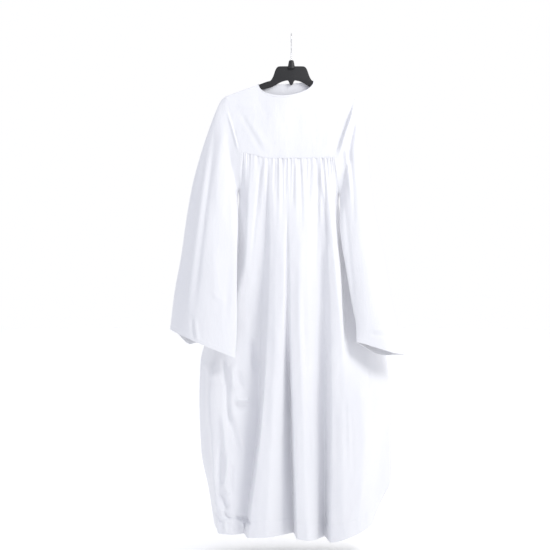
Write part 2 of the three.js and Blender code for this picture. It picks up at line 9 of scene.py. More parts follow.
import bmesh
import bpy
import numpy as np
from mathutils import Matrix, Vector


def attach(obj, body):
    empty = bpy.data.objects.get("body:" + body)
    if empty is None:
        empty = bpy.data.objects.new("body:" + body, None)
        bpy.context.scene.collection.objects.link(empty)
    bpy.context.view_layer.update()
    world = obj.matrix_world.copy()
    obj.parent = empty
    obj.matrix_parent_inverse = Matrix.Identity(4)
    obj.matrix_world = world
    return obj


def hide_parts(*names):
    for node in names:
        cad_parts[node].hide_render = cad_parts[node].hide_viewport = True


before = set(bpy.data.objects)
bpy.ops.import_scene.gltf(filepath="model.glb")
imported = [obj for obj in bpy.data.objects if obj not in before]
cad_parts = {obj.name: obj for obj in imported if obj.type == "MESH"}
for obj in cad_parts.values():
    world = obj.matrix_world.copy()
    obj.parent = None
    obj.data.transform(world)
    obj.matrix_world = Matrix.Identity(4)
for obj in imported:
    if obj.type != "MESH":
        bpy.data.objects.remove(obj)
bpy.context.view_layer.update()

MM = 0.001
FRONT, BACK = -1, 1                 # the way that a panel faces along Y
SHARP_ANGLE = math.radians(55)      # edges that turn more than this aren't shaded smooth

# -------------------- sizes of the gown, in mm
CLOTH = 0.9                       # thickness of the cloth that is seen
ROUND_OVER_ARM = 7.4              # how the yoke rounds over the hanger's arm
ARM = {"start": 70, "start_z": -148, "slope": 0.37, "cloth_above": 2.35}
NECK = {"centre": -16, "half": 87, "drop": 43, "back_drop": 4, "drape": 6, "drape_length": 110}
SHOULDER = {"left": -206, "right": 204}
YOKE = {"seam": -395, "left_rise": 17, "right_rise": 2, "rise_width": 95, "swell": 22,
        "swell_length": 245}
HOLES = {
    "left": {"shoulder": -206, "yoke": -158, "yoke_z": -378, "underarm": -166},
    "right": {"shoulder": 204, "yoke": 134, "yoke_z": -393, "underarm": 150},
}
SIDE_SEAMS = {          # height, place across, place in depth
    "left": [(-491, -166, 0), (-520, -165.6, 1), (-560, -169, 3), (-620, -183, 6),
             (-700, -202, 10), (-850, -240, 18), (-960, -270, 24), (-1036, -288, 28),
             (-1150, -292, 32), (-1320, -286, 37), (-1436, -264, 40), (-1553, -245, 42)],
    "right": [(-502, 150, 0), (-530, 149.6, 1), (-570, 154, 3), (-650, 174, 8),
              (-780, 217, 14), (-900, 262, 20), (-1040, 306, 28), (-1150, 316, 32),
              (-1300, 320, 36), (-1414, 318, 39), (-1468, 294, 40), (-1527, 266, 42)],
}
LEVELS = [395, 650, 900, 1150, 1560]      # below the origin: yoke seam to hem
# Folds left to right: place across at each level, depth at each level below the yoke seam.
FRONT_FOLDS = [
    ([-155, -160, -236, -272, -234], [-6, 5, -12, -22]),
    ([-146, -150, -206, -250, -224], [-25, -20, -56, -76]),
    ([-128, -136, -160, -190, -188], [-46, -42, -62, -80]),
    ([-95, -90, -102, -102, -149], [-40, -32, -28, -60]),
    ([-66, -64, -73, -86, -134], [-58, -74, -98, -114]),
    ([-43, -44, -50, -60, -84], [-62, -82, -102, -120]),
    ([-25, -24, -28, -33, -35], [-60, -80, -88, -86]),
    ([-14, -14, -13, -6, 6], [-57, -66, -48, -40]),
    ([-4, -4, -4, 3, 17], [-61, -82, -103, -119]),
    ([18, 20, 22, 27, 44], [-64, -86, -108, -124]),
    ([44, 46, 48, 54, 70], [-60, -78, -92, -102]),
    ([74, 90, 96, 102, 103], [-42, -44, -44, -42]),
    ([94, 112, 121, 123, 119], [-57, -78, -100, -112]),
    ([108, 127, 146, 156, 158], [-60, -84, -104, -120]),
    ([118, 138, 168, 205, 200], [-48, -46, -98, -108]),
    ([125, 145, 190, 252, 230], [-30, -14, -72, -78]),
    ([130, 148, 228, 292, 252], [-8, 0, -20, -20]),
]
BACK_LEFT_FOLDS = [
    ([-154, -160, -240, -275, -236], [22, 48, 62, 72]),
    ([-140, -142, -200, -232, -212], [48, 72, 92, 108]),
    ([-112, -114, -150, -168, -164], [40, 50, 48, 46]),
    ([-82, -82, -104, -112, -112], [60, 82, 102, 120]),
    ([-52, -52, -62, -64, -64], [44, 50, 54, 50]),
    ([-32, -32, -36, -38, -38], [56, 74, 92, 108]),
]
BACK_RIGHT_FOLDS = [
    ([6, 6, 10, 14, 12], [60, 80, 100, 116]),
    ([36, 36, 46, 54, 56], [44, 52, 52, 46]),
    ([64, 66, 88, 98, 100], [60, 82, 104, 122]),
    ([90, 96, 130, 150, 150], [42, 52, 50, 52]),
    ([114, 124, 180, 210, 200], [50, 74, 94, 106]),
    ([128, 144, 238, 280, 242], [24, 46, 60, 66]),
]
# The centre-back seam, in the same form.
BACK_CENTRE = ([-16, -16, -16, -16, -16], [52, 66, 78, 88])
# Places along the hem: across and height.
HEM = [(-245, -1553), (-160, -1558), (-80, -1556), (18, -1561), (115, -1572), (178, -1556),
       (266, -1527)]
HEM_LEVEL = -1556                       # height at which the folds' places at the hem are taken

# Sleeve rings: outer fold, inner fold, front and back faces (near outer, near inner fold).
SLEEVES = {
    "left": [
        ((-221, 0, -211), (-169, -3, -510), (-18, -22), (18, 18)),
        ((-236, 0, -242), (-168.5, -14, -545), (-24, -28), (20, 10)),
        ((-258, 0, -300), (-167, -29, -600), (-32, -38), (20, 0)),
        ((-286, 0, -385), (-169, -45, -670), (-40, -49), (14, -14)),
        ((-311, -2, -480), (-170, -55, -740), (-50, -59), (6, -26)),
        ((-330, -6, -590), (-170, -65, -810), (-61, -71), (-6, -36)),
        ((-345, -10, -700), (-169, -72, -875), (-72, -83), (-16, -46)),
        ((-366, -17, -820), (-170, -79, -945), (-84, -94), (-29, -56)),
        ((-378, -26, -929), (-175, -88, -1012), (-96, -104), (-43, -66)),
    ],
    "right": [
        ((212, 0, -208), (153.5, -4, -520), (-18, -22), (18, 18)),
        ((219, 0, -242), (152.5, -15, -552), (-24, -28), (20, 10)),
        ((227, 0, -305), (151.5, -30, -602), (-31, -39), (20, 2)),
        ((236, 0, -395), (157, -43, -665), (-39, -49), (14, -12)),
        ((246, -2, -490), (167, -51, -725), (-47, -58), (8, -22)),
        ((262, -6, -595), (178, -62, -795), (-57, -69), (-2, -33)),
        ((284, -12, -695), (190, -72, -865), (-67, -81), (-14, -43)),
        ((310, -20, -842), (199, -81, -925), (-79, -91), (-27, -55)),
        ((350, -34, -990), (199, -91, -971), (-93, -99), (-48, -67)),
    ],
}
FACE_OUTER, FACE_INNER = 0.34, 0.74     # places on a sleeve's face, from fold to fold
YOKE_SHARE = 9 / 14                     # share of a half armhole ring that runs along the yoke
RING_SPREAD = {"yoke": 1.6, "skirt": 1.8}       # how the ring's points crowd at its two ends
SEAM_HALF = 0.03                        # half the hairline between two sewn pieces
ARMHOLE_GAP = -0.5                      # the sleeve head tucks under the yoke's edge
HANGER = {"thickness": 9, "half_width": 200, "arm_height": 19, "rim": 1.4}
CORNER_CUT = 4                          # most that rounding takes off a corner of the outline
BOSS_SIDES = 48
BOSS_PROFILE = [        # radius and height, up the wire's hole, over the collar and down outside
    (2.1, -92), (2.1, -83.4), (2.6, -82.6), (3.6, -82.6), (3.9, -83.4), (5.6, -83.4),
    (6.8, -83.8), (7.5, -84.8), (8.2, -88), (12.2, -107), (12.5, -109), (11, -110.5),
    (2.1, -110.5)]
HOOK = {"wire": 1.75, "bend": 20, "stem": [-97.5, -80, -66], "stem_top": -58, "lead": 12,
        "turn_start": 215, "turn_step": 12, "tip_angle": -38, "tip_size": 0.75}

# -------------------- sewing and relief, in mm
STITCH = {"length": 2.4, "radius": 0.22, "pitch": 3.3, "sides": 6}
STITCH_RINGS = [        # along the stitch, height over the cloth and width, in its own sizes
    (-0.5, -0.3, 0.3), (-0.36, 0.35, 0.9), (0, 0.7, 1.0), (0.36, 0.35, 0.9), (0.5, -0.3, 0.3)]
STITCH_FROM_FOLD = 2                    # from a hem's stitches to the edge of its turned layer
SKIRT_HEM = 50                          # depth of the turned hems
CUFF_HEM = 12
CUFF_STEP = 1                           # half the width over which a cuff's thickness changes
HEM_LOOK = {"layer": 0.5, "groove": 0.5, "groove_width": 1.8, "step": 1.5, "pucker": 0.4,
            "pucker_reach": 0.35, "pitch": 23, "thick": 1.8, "uneven": (0.6, 0.4),
            "uneven_over": (90, 400), "stray": 2.5}
NECK_EDGE = {"depth": 6, "layer": 0.45, "groove": 0.35, "groove_width": 1.2, "step": 1,
             "thick": 1.7 * CLOTH, "past": 0.5}
YOKE_TOPSTITCH = 2.6                    # above the seam between yoke and skirt
SEAM_ROLL = {"depth": 0.22, "width": 1.8}
# Slow waves of the cloth, and the distances below the upper edge between which they grow.
WAVE = {"across": 75, "down": 280, "height": 1.3, "ripple": 0.3, "ripples": 3,
        "on_yoke": 0.35, "on_sleeve": 0.8}
WAVE_STRETCH = (0.7, 1.6)               # how much single waves differ from the given lengths
WAVES_GROW = {"yoke": (10, 80), "skirt": (30, 200), "sleeve": (20, 120)}
SIDE_SEAM_CALM = 9                      # relief fades out towards a side seam over this distance
ARMHOLE_CALM = (-2, 8)                  # and towards a sleeve's head between these
FOLD_CALM = {"creases": 0.25, "waves": 0.3}     # and towards a sleeve's folds, as shares
GATHERS = {"front": (17, 41), "back": (9, 21)}  # long and close gathers across a panel
GATHER = {"depth": 1.95, "evenness": 0.72, "length": 190, "ends": 0.1,
          "close_depth": 0.98, "close_length": 48, "close_start": 3, "close_shortest": 12,
          "close_share": (0.75, 0.5), "close_over": (9, 1), "wander": 1.6, "wander_over": (16, 500)}
GATHER_SWINGS = {       # how the long ones vary across a panel: amount, turns, phase
    "spacing": (0.9, 2.7, 1), "depth": (0.28, 5.3, 2), "length": (70, 3.9, 0)}
# How much lower than its solid a cuff hangs: all round, tilted to the outer fold, at its back.
CUFF_DROPS = {
    "left": {"level": 0, "tilt": 0, "back": 20, "back_at": 0.86, "back_width": 0.05},
    "right": {"level": 4.5, "tilt": 11.5, "back": 20, "back_at": 0.74, "back_width": 0.15},
}
CUFF_DROPS_FROM = (0.75, 1)             # shares of the sleeve's length between which it grows
SEEDS = {"yoke_front": 3, "yoke_back_left": 5, "yoke_back_right": 8, "skirt_front": 21,
         "skirt_back_left": 31, "skirt_back_right": 41, "sleeve_left": 51, "sleeve_right": 61}

# -------------------- fineness of the meshes
COLUMN_PITCH = 2.4                      # between two columns of a yoke, in mm
NECK_FINER = 1.15                       # more columns along the neckline
# Stops from edge to edge as shares, and the steps between each two of them.
YOKE_ROWS = ([0, 0.006, 0.036, 0.1, 1], [5, 8, 8, 64])
SKIRT_ROWS = ([0, 0.03, 0.1, 0.2, 0.955, 1], [8, 22, 20, 116, 18])
SKIRT_COLUMNS = {"front": ([0, 0.24, 1], [88, 170]), "back": ([0, 1], [130])}
SLEEVE_ROWS = ([0, 0.05, 0.93, 1], [10, 118, 20])
SLEEVE_COLUMNS = 156
CREASE = {"samples": 14, "reach": 3, "taper": 0.3}      # points along it, widths out, ends

# -------------------- creases, in mm
# Creases: width and height (ridges up, troughs down) and places (x, z) along each.
YOKE_CREASES = [
    (9, -2.2, [(-168, -240), (-128, -305), (-84, -388)]),
    (13, 1.7, [(-156, -255), (-110, -318), (-66, -384)]),
    (15, 1.0, [(-60, -215), (-48, -290), (-30, -370)]),
    (10, -0.9, [(60, -222), (74, -290), (82, -372)]),
    (9, 1.2, [(118, -250), (116, -310), (108, -380)]),
    (7, -1.3, [(150, -245), (134, -310), (122, -384)]),
    (16, -0.8, [(-20, -210), (10, -250), (22, -330)]),
    (12, 0.9, [(-175, -215), (-150, -230), (-110, -225)]),
]
YOKE_BACK_CREASES = [
    (10, -1.7, [(-160, -240), (-124, -300), (-96, -386)]),
    (14, 1.2, [(-120, -230), (-96, -300), (-70, -380)]),
    (11, -1.2, [(-52, -215), (-46, -290), (-36, -372)]),
    (9, 1.4, [(60, -215), (70, -290), (64, -380)]),
    (11, -1.8, [(150, -238), (116, -300), (92, -384)]),
    (9, 1.1, [(140, -270), (118, -330), (110, -388)]),
]
FRONT_CREASES = [
    # long gathers that hang from the yoke
    (3.6, -2.7, [(-153, -384), (-155, -440), (-160, -520)]),
    (4.5, -2.9, [(-93, -396), (-101, -470), (-112, -590), (-128, -760)]),
    (4.0, -3.5, [(-72, -396), (-76, -470), (-80, -590), (-88, -800)]),
    (6.5, 2.6, [(-84, -398), (-90, -480), (-97, -620)]),
    (3.4, -2.1, [(-50, -398), (-53, -440), (-55, -520)]),
    (5.5, 1.8, [(-36, -398), (-36, -450), (-37, -570)]),
    (3.2, -1.8, [(-22, -398), (-20, -450), (-19, -530)]),
    (3.0, -2.4, [(-13, -560), (-15, -640), (-17, -730), (-17, -830)]),
    (3.6, -2.6, [(9, -398), (7, -450), (4, -560)]),
    (5.0, 2.2, [(18, -398), (17, -470), (16, -600)]),
    (3.6, -2.4, [(28, -398), (31, -480), (34, -640)]),
    (3.4, -2.2, [(46, -398), (46, -440), (44, -500)]),
    (3.8, -2.9, [(62, -398), (57, -470), (54, -560)]),
    (5.0, -4.0, [(84, -398), (82, -500), (80, -640), (76, -860)]),
    (5.5, 2.6, [(94, -398), (92, -500), (90, -620)]),
    (4.2, -2.9, [(101, -398), (104, -520), (104, -640), (102, -860)]),
    (3.4, -2.4, [(122, -396), (124, -450), (130, -540)]),
    # soft streaks down the front
    (9, 2.2, [(20, -700), (24, -900), (40, -1200), (52, -1480)]),
    (7, -1.8, [(38, -760), (42, -980), (58, -1250), (66, -1460)]),
    (10, -2.0, [(-52, -760), (-62, -960), (-80, -1200), (-104, -1440)]),
    (12, 2.0, [(142, -1090), (148, -1250), (152, -1420), (150, -1530)]),
    (6, -1.6, [(162, -1120), (166, -1220), (168, -1360)]),
    (6, -1.5, [(178, -1130), (184, -1250), (188, -1400)]),
    (9, 1.6, [(214, -1150), (222, -1260), (214, -1400), (200, -1500)]),
    (12, -1.8, [(240, -1040), (252, -1160), (250, -1300), (236, -1430)]),
    (5, -2.0, [(236, -1045), (240, -1080), (236, -1120)]),
    # the deep hollow beside the right sleeve and the ridge along it
    (13, -16.0, [(166, -560), (170, -720), (176, -880), (182, -1060)]),
    (6, 4.0, [(146, -640), (153, -850), (160, -1030)]),
    # the shaded streak under the right end of the gathers
    (7, -4.5, [(84, -430), (97, -540), (106, -620), (111, -700)]),
    # the lit turn beside the left sleeve
    (10, 5.0, [(-158, -500), (-160, -640), (-166, -800), (-182, -960)]),
    # crumpled lower left panel
    (16, 6.0, [(-270, -1030), (-252, -1060), (-238, -1096)]),
    (7, -7.0, [(-216, -1016), (-209, -1060), (-206, -1106)]),
    (8, -10.0, [(-198, -1050), (-200, -1130), (-197, -1200), (-190, -1250)]),
    (9, 8.0, [(-184, -1030), (-182, -1080), (-172, -1130)]),
    (7, -7.0, [(-166, -1050), (-158, -1090), (-142, -1118)]),
    (7, 8.5, [(-178, -1138), (-154, -1148), (-128, -1142)]),
    (7, -8.0, [(-182, -1156), (-158, -1167), (-134, -1161)]),
    (8, -9.0, [(-200, -1160), (-182, -1224), (-164, -1284), (-160, -1330)]),
    (9, 7.0, [(-216, -1180), (-206, -1250), (-206, -1330)]),
    (8, -9.0, [(-212, -1260), (-222, -1340), (-222, -1430)]),
    (7, 7.0, [(-196, -1290), (-200, -1360), (-208, -1420)]),
    (7, -6.0, [(-180, -1330), (-186, -1390), (-182, -1450)]),
    (6, -9.0, [(-232, -1420), (-214, -1444), (-204, -1470), (-190, -1462)]),
    (6, 8.0, [(-224, -1400), (-206, -1412), (-190, -1440)]),
    (6, 7.5, [(-236, -1450), (-220, -1480), (-206, -1500)]),
    (6, -8.5, [(-214, -1478), (-198, -1502), (-178, -1508)]),
    (6, -8.0, [(-178, -1500), (-150, -1512), (-118, -1516)]),
    (5, 6.0, [(-206, -1508), (-204, -1530), (-200, -1552)]),
    (5, 6.0, [(-156, -1512), (-150, -1534), (-148, -1554)]),
    (5, -5.0, [(-240, -1490), (-226, -1512), (-208, -1524)]),
    (9, -5.0, [(-256, -1210), (-258, -1300), (-248, -1390)]),
    # deep shade at the head of the left trough
    (13, -10.0, [(-120, -950), (-112, -1000), (-108, -1070)]),
]
BACK_LEFT_CREASES = [
    (4.0, -3.6, [(-126, -390), (-130, -470), (-140, -600)]),
    (3.6, -3.2, [(-98, -396), (-97, -470), (-96, -580)]),
    (4.4, -4.2, [(-66, -397), (-64, -500), (-66, -700)]),
    (5.0, 2.4, [(-54, -398), (-54, -480), (-58, -640)]),
    (3.6, -3.0, [(-40, -398), (-42, -460), (-42, -560)]),
    (9, 2.4, [(-100, -760), (-116, -1000), (-124, -1300), (-118, -1480)]),
    (8, -2.4, [(-44, -800), (-52, -1040), (-54, -1300)]),
    (7, -4.0, [(-210, -1090), (-184, -1130), (-160, -1144)]),
    (8, 4.0, [(-226, -1120), (-214, -1200), (-220, -1280)]),
    (6, -3.8, [(-202, -1180), (-194, -1260), (-204, -1340)]),
    (6, 3.2, [(-216, -1380), (-196, -1410), (-180, -1450)]),
    (5, -3.2, [(-224, -1440), (-200, -1470), (-172, -1478)]),
]
BACK_RIGHT_CREASES = [
    (3.6, -3.2, [(12, -398), (11, -460), (8, -560)]),
    (4.4, -4.0, [(34, -398), (36, -500), (40, -680)]),
    (5.2, 2.4, [(50, -398), (50, -480), (54, -640)]),
    (3.8, -3.4, [(76, -398), (78, -470), (84, -590)]),
    (4.2, -3.8, [(104, -396), (108, -480), (124, -640)]),
    (9, 2.2, [(70, -780), (86, -1000), (98, -1280), (100, -1470)]),
    (8, -2.2, [(24, -820), (30, -1060), (34, -1320)]),
    (8, 3.2, [(222, -1080), (232, -1180), (226, -1290)]),
    (7, -3.4, [(196, -1120), (206, -1220), (204, -1320)]),
    (6, -3.0, [(150, -1440), (180, -1462), (214, -1456)]),
]
LEFT_SLEEVE_CREASES = [
    (4, -3.0, [(-204, -240), (-188, -290), (-174, -340), (-163, -385)]),
    # the front face turns to the outer edge along a long soft ridge
    (8, 3.4, [(-236, -262), (-252, -420), (-268, -560), (-290, -760), (-302, -900)]),
    (9, -3.6, [(-246, -300), (-266, -440), (-288, -600), (-312, -800), (-320, -920)]),
    (12, -2.2, [(-206, -270), (-222, -360), (-232, -470), (-226, -600)]),
    (10, 2.2, [(-192, -330), (-196, -460), (-200, -640)]),
    (14, -1.8, [(-240, -640), (-236, -760), (-222, -860)]),
    (9, 1.6, [(-190, -700), (-196, -820), (-204, -930)]),
    (6, 3.2, [(-306, -880), (-304, -920), (-298, -962)]),
    (5, -3.2, [(-296, -890), (-292, -930), (-284, -968)]),
    (6, -1.8, [(-252, -800), (-226, -830), (-200, -836)]),
]
RIGHT_SLEEVE_CREASES = [
    # the shaded fold beside the armhole
    (8, -13.0, [(204, -218), (189, -262), (173, -306), (158, -350), (144, -402)]),
    (6, 5.0, [(204, -262), (190, -320), (180, -376), (180, -440)]),
    (6, -5.0, [(166, -330), (170, -380), (179, -440), (190, -580)]),
    (7, 2.6, [(184, -340), (188, -460), (196, -620)]),
    (9, -1.8, [(206, -260), (214, -400), (222, -540), (232, -700)]),
    (7, 2.0, [(160, -480), (170, -600), (184, -760), (194, -880)]),
    (10, 1.6, [(228, -420), (238, -560), (254, -720)]),
    (5, -2.6, [(240, -928), (272, -922), (304, -914)]),
    (6, 2.2, [(236, -944), (268, -938), (306, -934)]),
    (10, -1.4, [(272, -780), (288, -860), (300, -920)]),
]
SLEEVE_BACK_CREASES = [
    (10, -2.6, [(-212, -300), (-236, -460), (-252, -640), (-262, -820)]),
    (9, 2.4, [(-250, -380), (-276, -560), (-300, -760), (-316, -900)]),
    (7, -2.6, [(-190, -720), (-226, -760), (-262, -770)]),
    (10, -2.4, [(190, -300), (196, -460), (212, -620), (236, -820)]),
    (8, 2.2, [(176, -440), (186, -600), (206, -780)]),
    (6, -2.2, [(214, -900), (246, -892), (282, -880)]),
]

# -------------------- colours and studio, metres
THREAD_PITCH = 0.55                     # between two threads of the weave, in mm
BAND_TURNS = 20                         # a wave texture of scale 1 has a band each tau / 20 m
SLUB_CELLS = [(900, 18, 1), (18, 900, 1)]       # uneven threads along and across the cloth
SLUB_SHARE = 0.5
CLOTH_WHITE = (0.86, 0.862, 0.885)
CLOTH_SHADE = (0.83, 0.833, 0.862)
# painted shade: thread colour in the hollows of its twist relief
THREAD_PAINTED_SHADE = (0.72, 0.72, 0.76)
PLASTIC_BLACK = (0.012, 0.012, 0.013)
PLASTIC_WORN = (0.035, 0.035, 0.036)
WIRE_DULL = (0.5, 0.5, 0.51)
WIRE_BRIGHT = (0.78, 0.78, 0.8)
CAMERA = {"x": -0.0513, "z": -0.759, "distance": 3.2, "view_width": 1.7325}
WORLD_SIDE = (0.4, 0.7, 0.3)           # the studio is brightest this way: right, behind, above
WORLD_STOPS = [(0.05, (0.49, 0.51, 0.6)), (0.4, (0.75, 0.77, 0.84)), (0.72, (1.0, 1.0, 1.01))]
FLOOR = {"z": -1.64, "radius": 14, "glow": 0.16,
         "tones": [(0.3, (0.95, 0.95, 0.955)), (0.7, (0.97, 0.97, 0.97))]}
LIGHTS = [      # name, place, what it points at, size, power, colour
    ("key", (1.35, -1.2, 0.75), (0.0, 0.0, -0.15), 0.9, 24, (1.0, 0.99, 0.96)),
    ("rim", (-1.9, 1.5, 0.7), (0.0, 0.0, -0.6), 0.9, 4, (1.0, 1.0, 1.0)),
]


# -------------------- curves through table rows
def row_at(table, row):
    """One value for each place, out of the row of the table that the place asks for."""
    return np.take_along_axis(table, row[None], 0)[0]


def smooth_through(positions, values, at):
    """Cubic value through rows of rising position whose slope never overshoots a row.

    values holds one number a row, or one array a row of the shape of at.
    """
    at = np.asarray(at, float)
    positions = np.asarray(positions, float)
    values = np.asarray(values, float)
    if values.ndim == 1:
        values = values.reshape(-1, *([1] * at.ndim))
    values = np.broadcast_to(values, (len(positions), *at.shape))
    steps = np.diff(positions).reshape(-1, *([1] * at.ndim))
    rises = np.diff(values, axis=0) / steps
    before, after = rises[:-1], rises[1:]
    level = before * after <= 0
    total = np.where(level, 1, before + after)
    inner = np.where(level, 0, 2 * before * after / total)
    slopes = np.concatenate([rises[:1], inner, rises[-1:]])
    index = np.searchsorted(positions[1:-1], at)
    span = positions[index + 1] - positions[index]
    share = np.clip((at - positions[index]) / span, 0, 1)
    bend = share * share * (3 - 2 * share)
    start = share * (1 - share) ** 2 * span * row_at(slopes, index)
    end = share * share * (share - 1) * span * row_at(slopes, index + 1)
    low, high = row_at(values, index), row_at(values, index + 1)
    return low + (high - low) * bend + start + end


def smoothstep(value, low, high):
    share = np.clip((value - low) / (high - low), 0, 1)
    return share * share * (3 - 2 * share)


def lerp(low, high, share):
    return low + (high - low) * share


def bell(distance, width):
    return np.exp(-((distance / width) ** 2))


def shares_of(stops, steps):
    """Rising shares from 0 to 1: so many even steps between each two stops."""
    runs = [np.linspace(a, b, n, endpoint=False) for a, b, n in zip(stops, stops[1:], steps)]
    return np.concatenate([*runs, [stops[-1]]])


# -------------------- form of the yoke
def arm_top(x):
    return ARM["start_z"] - ARM["slope"] * np.maximum(np.abs(x) - ARM["start"], 0)


def shoulder_ridge(x):
    return arm_top(x) + ARM["cloth_above"]


def yoke_depth(x, z):
    """How far the yoke's cloth lies from the plane of the hanger."""
    drop = np.maximum(shoulder_ridge(x) - z, 0)
    over = 1 - np.minimum(drop / ROUND_OVER_ARM, 1)
    rounded = ROUND_OVER_ARM * np.sqrt(1 - over * over)
    return SEAM_HALF + rounded + YOKE["swell"] * smoothstep(drop, 0, YOKE["swell_length"])


def yoke_top(x, neck_drop):
    """Height of the yoke's upper edge: shoulder seams, and the neckline between them."""
    left, right = NECK["centre"] - NECK["half"], NECK["centre"] + NECK["half"]
    across = np.clip((x - NECK["centre"]) / NECK["half"], -1, 1)
    chord = lerp(shoulder_ridge(left), shoulder_ridge(right), (across + 1) / 2)
    neckline = chord - neck_drop * np.sqrt(1 - across * across)
    return np.where(np.abs(across) >= 1, shoulder_ridge(x), neckline)


def yoke_seam(x):
    """Height of the seam between yoke and skirt."""
    left, right = -HOLES["left"]["yoke"], HOLES["right"]["yoke"]
    rise_left = smoothstep(-x, left - YOKE["rise_width"], left)
    rise_right = smoothstep(x, right - YOKE["rise_width"], right)
    return YOKE["seam"] + YOKE["left_rise"] * rise_left + YOKE["right_rise"] * rise_right


def neck_angle(x):
    """Turn round the neckline at a place across: 0 at its left end, pi at its right end."""
    return math.acos(np.clip((NECK["centre"] - x) / NECK["half"], -1, 1))


def yoke_columns(low, high):
    """Places of the columns on a yoke's upper edge, at even turns along the neckline."""
    neck_ends = NECK["centre"] + NECK["half"] * np.array([-1, 1])
    stops = [low, *[x for x in neck_ends if low < x < high], high]
    columns = []
    for a, b in zip(stops, stops[1:]):
        if a >= neck_ends[0] and b <= neck_ends[1]:
            count = int((b - a) / COLUMN_PITCH * NECK_FINER)
            turns = np.linspace(neck_angle(a), neck_angle(b), count, endpoint=False)
            columns.append(NECK["centre"] - NECK["half"] * np.cos(turns))
        else:
            columns.append(np.linspace(a, b, int((b - a) / COLUMN_PITCH), endpoint=False))
    return np.concatenate([*columns, [high]])


def yoke_grid(facing, left_end, right_end, neck_drop):
    """Outer face of a yoke panel; each end is its place across at the top and on the seam."""
    (low, seam_low), (high, seam_high) = left_end, right_end
    tops = yoke_columns(low, high)
    u = np.linspace(0, 1, len(tops))
    v = shares_of(*YOKE_ROWS)[:, None]
    top = yoke_top(tops, neck_drop)
    on_seam = lerp(seam_low, seam_high, u)
    x = lerp(tops, on_seam, v)
    z = lerp(top, yoke_seam(on_seam), v)
    across = np.clip((x - NECK["centre"]) / NECK["half"], -1, 1)
    below = np.clip((top - z) / NECK["drape_length"], 0, 1)
    depth = yoke_depth(x, z)
    if facing == FRONT:
        depth = depth + NECK["drape"] * (1 - across**2) ** 2 * (1 - below) ** 2
    return np.stack([x, facing * depth, z], axis=-1)


# -------------------- form of the skirt
def skirt_edge(side, facing, z):
    """Side edge of a skirt panel: the armhole to the underarm, then the side seam."""
    hole = HOLES[side]
    seam = np.array(SIDE_SEAMS[side], float)
    underarm = seam[0, 0]
    share = np.clip((hole["yoke_z"] - z) / (hole["yoke_z"] - underarm), 0, 1)
    depth = yoke_depth(hole["yoke"], hole["yoke_z"]) * np.sqrt(1 - share * share)
    on_hole = z > underarm
    x = smooth_through(-seam[:, 0], seam[:, 1], -z)
    y = smooth_through(-seam[:, 0], seam[:, 2], -z) + facing * SEAM_HALF
    return (np.where(on_hole, lerp(hole["yoke"], hole["underarm"], share), x),
            np.where(on_hole, facing * np.maximum(depth, SEAM_HALF), y))


def fold_place(fold, facing, z):
    """Where a fold passes at a height: across and in depth."""
    across, depths = fold
    at_seam = facing * yoke_depth(across[0], yoke_seam(across[0]))
    return (smooth_through(LEVELS, across, -z),
            smooth_through(LEVELS, [at_seam, *depths], -z))


def skirt_grid(places, u, v):
    """Outer face of a skirt panel through its edges and folds, u across and v down."""
    at = u * (len(places) - 1)
    order = np.arange(len(places))
    top_x = smooth_through(order, [float(place(YOKE["seam"])[0]) for place in places], at)
    hem_x = smooth_through(order, [float(place(HEM_LEVEL)[0]) for place in places], at)
    hem = np.array(HEM, float)
    top = yoke_seam(top_x) - 2 * SEAM_HALF
    z = lerp(top, smooth_through(hem[:, 0], hem[:, 1], hem_x), v[:, None])
    rows = [place(z) for place in places]
    at = np.broadcast_to(at, z.shape)
    x = smooth_through(order, np.stack([row[0] for row in rows]), at)
    y = smooth_through(order, np.stack([row[1] for row in rows]), at)
    return np.stack([x, y, z], axis=-1)


# -------------------- form of the sleeves
def root_distance(a, b):
    return np.sqrt(np.linalg.norm(a - b, axis=1))[:, None]


def closed_curve(anchors, at):
    """Centripetal Catmull-Rom curve round six anchors at shares 0 to 1 of the way round."""
    anchors = np.array(anchors, float)
    count = len(anchors)
    turn = (np.asarray(at) % 1) * count
    index = np.floor(turn).astype(int)
    weight = (turn - index)[:, None]
    p0, p1, p2, p3 = (anchors[(index + k) % count] for k in (-1, 0, 1, 2))
    d0, d1, d2 = root_distance(p0, p1), root_distance(p1, p2), root_distance(p2, p3)
    t1 = ((p1 - p0) / d0 - (p2 - p0) / (d0 + d1) + (p2 - p1) / d1) * d1
    t2 = ((p2 - p1) / d1 - (p3 - p1) / (d1 + d2) + (p3 - p2) / d2) * d1
    c2 = -3 * p1 + 3 * p2 - 2 * t1 - t2
    c3 = 2 * p1 - 2 * p2 + t1 + t2
    return p1 + t1 * weight + c2 * weight**2 + c3 * weight**3


def armhole_ring(side, facing, t):
    """The armhole's edge from shoulder (t 0) to underarm (t 1) on one face."""
    hole = HOLES[side]
    outward = -1 if side == "left" else 1
    top = shoulder_ridge(hole["shoulder"])
    underarm = SIDE_SEAMS[side][0][0]
    z = lerp(top, hole["yoke_z"], np.clip(t / YOKE_SHARE, 0, 1) ** RING_SPREAD["yoke"])
    x = lerp(hole["shoulder"], hole["yoke"], (top - z) / (top - hole["yoke_z"]))
    past_yoke = np.clip((t - YOKE_SHARE) / (1 - YOKE_SHARE), 0, 1)
    share = 1 - (1 - past_yoke) ** RING_SPREAD["skirt"]
    low_z = lerp(hole["yoke_z"], underarm, share)
    low_x, low_y = skirt_edge(side, facing, np.maximum(low_z, underarm + SEAM_HALF))
    upper = t <= YOKE_SHARE
    return np.stack([np.where(upper, x, low_x) + outward * ARMHOLE_GAP,
                     np.where(upper, facing * yoke_depth(x, z), low_y),
                     np.where(upper, z, low_z)], axis=-1)


def on_face(out, inner, share, depth):
    """Place on a sleeve's face, at a share of the way from its outer to its inner fold."""
    return [lerp(out[0], inner[0], share), depth, lerp(out[2], inner[2], share)]


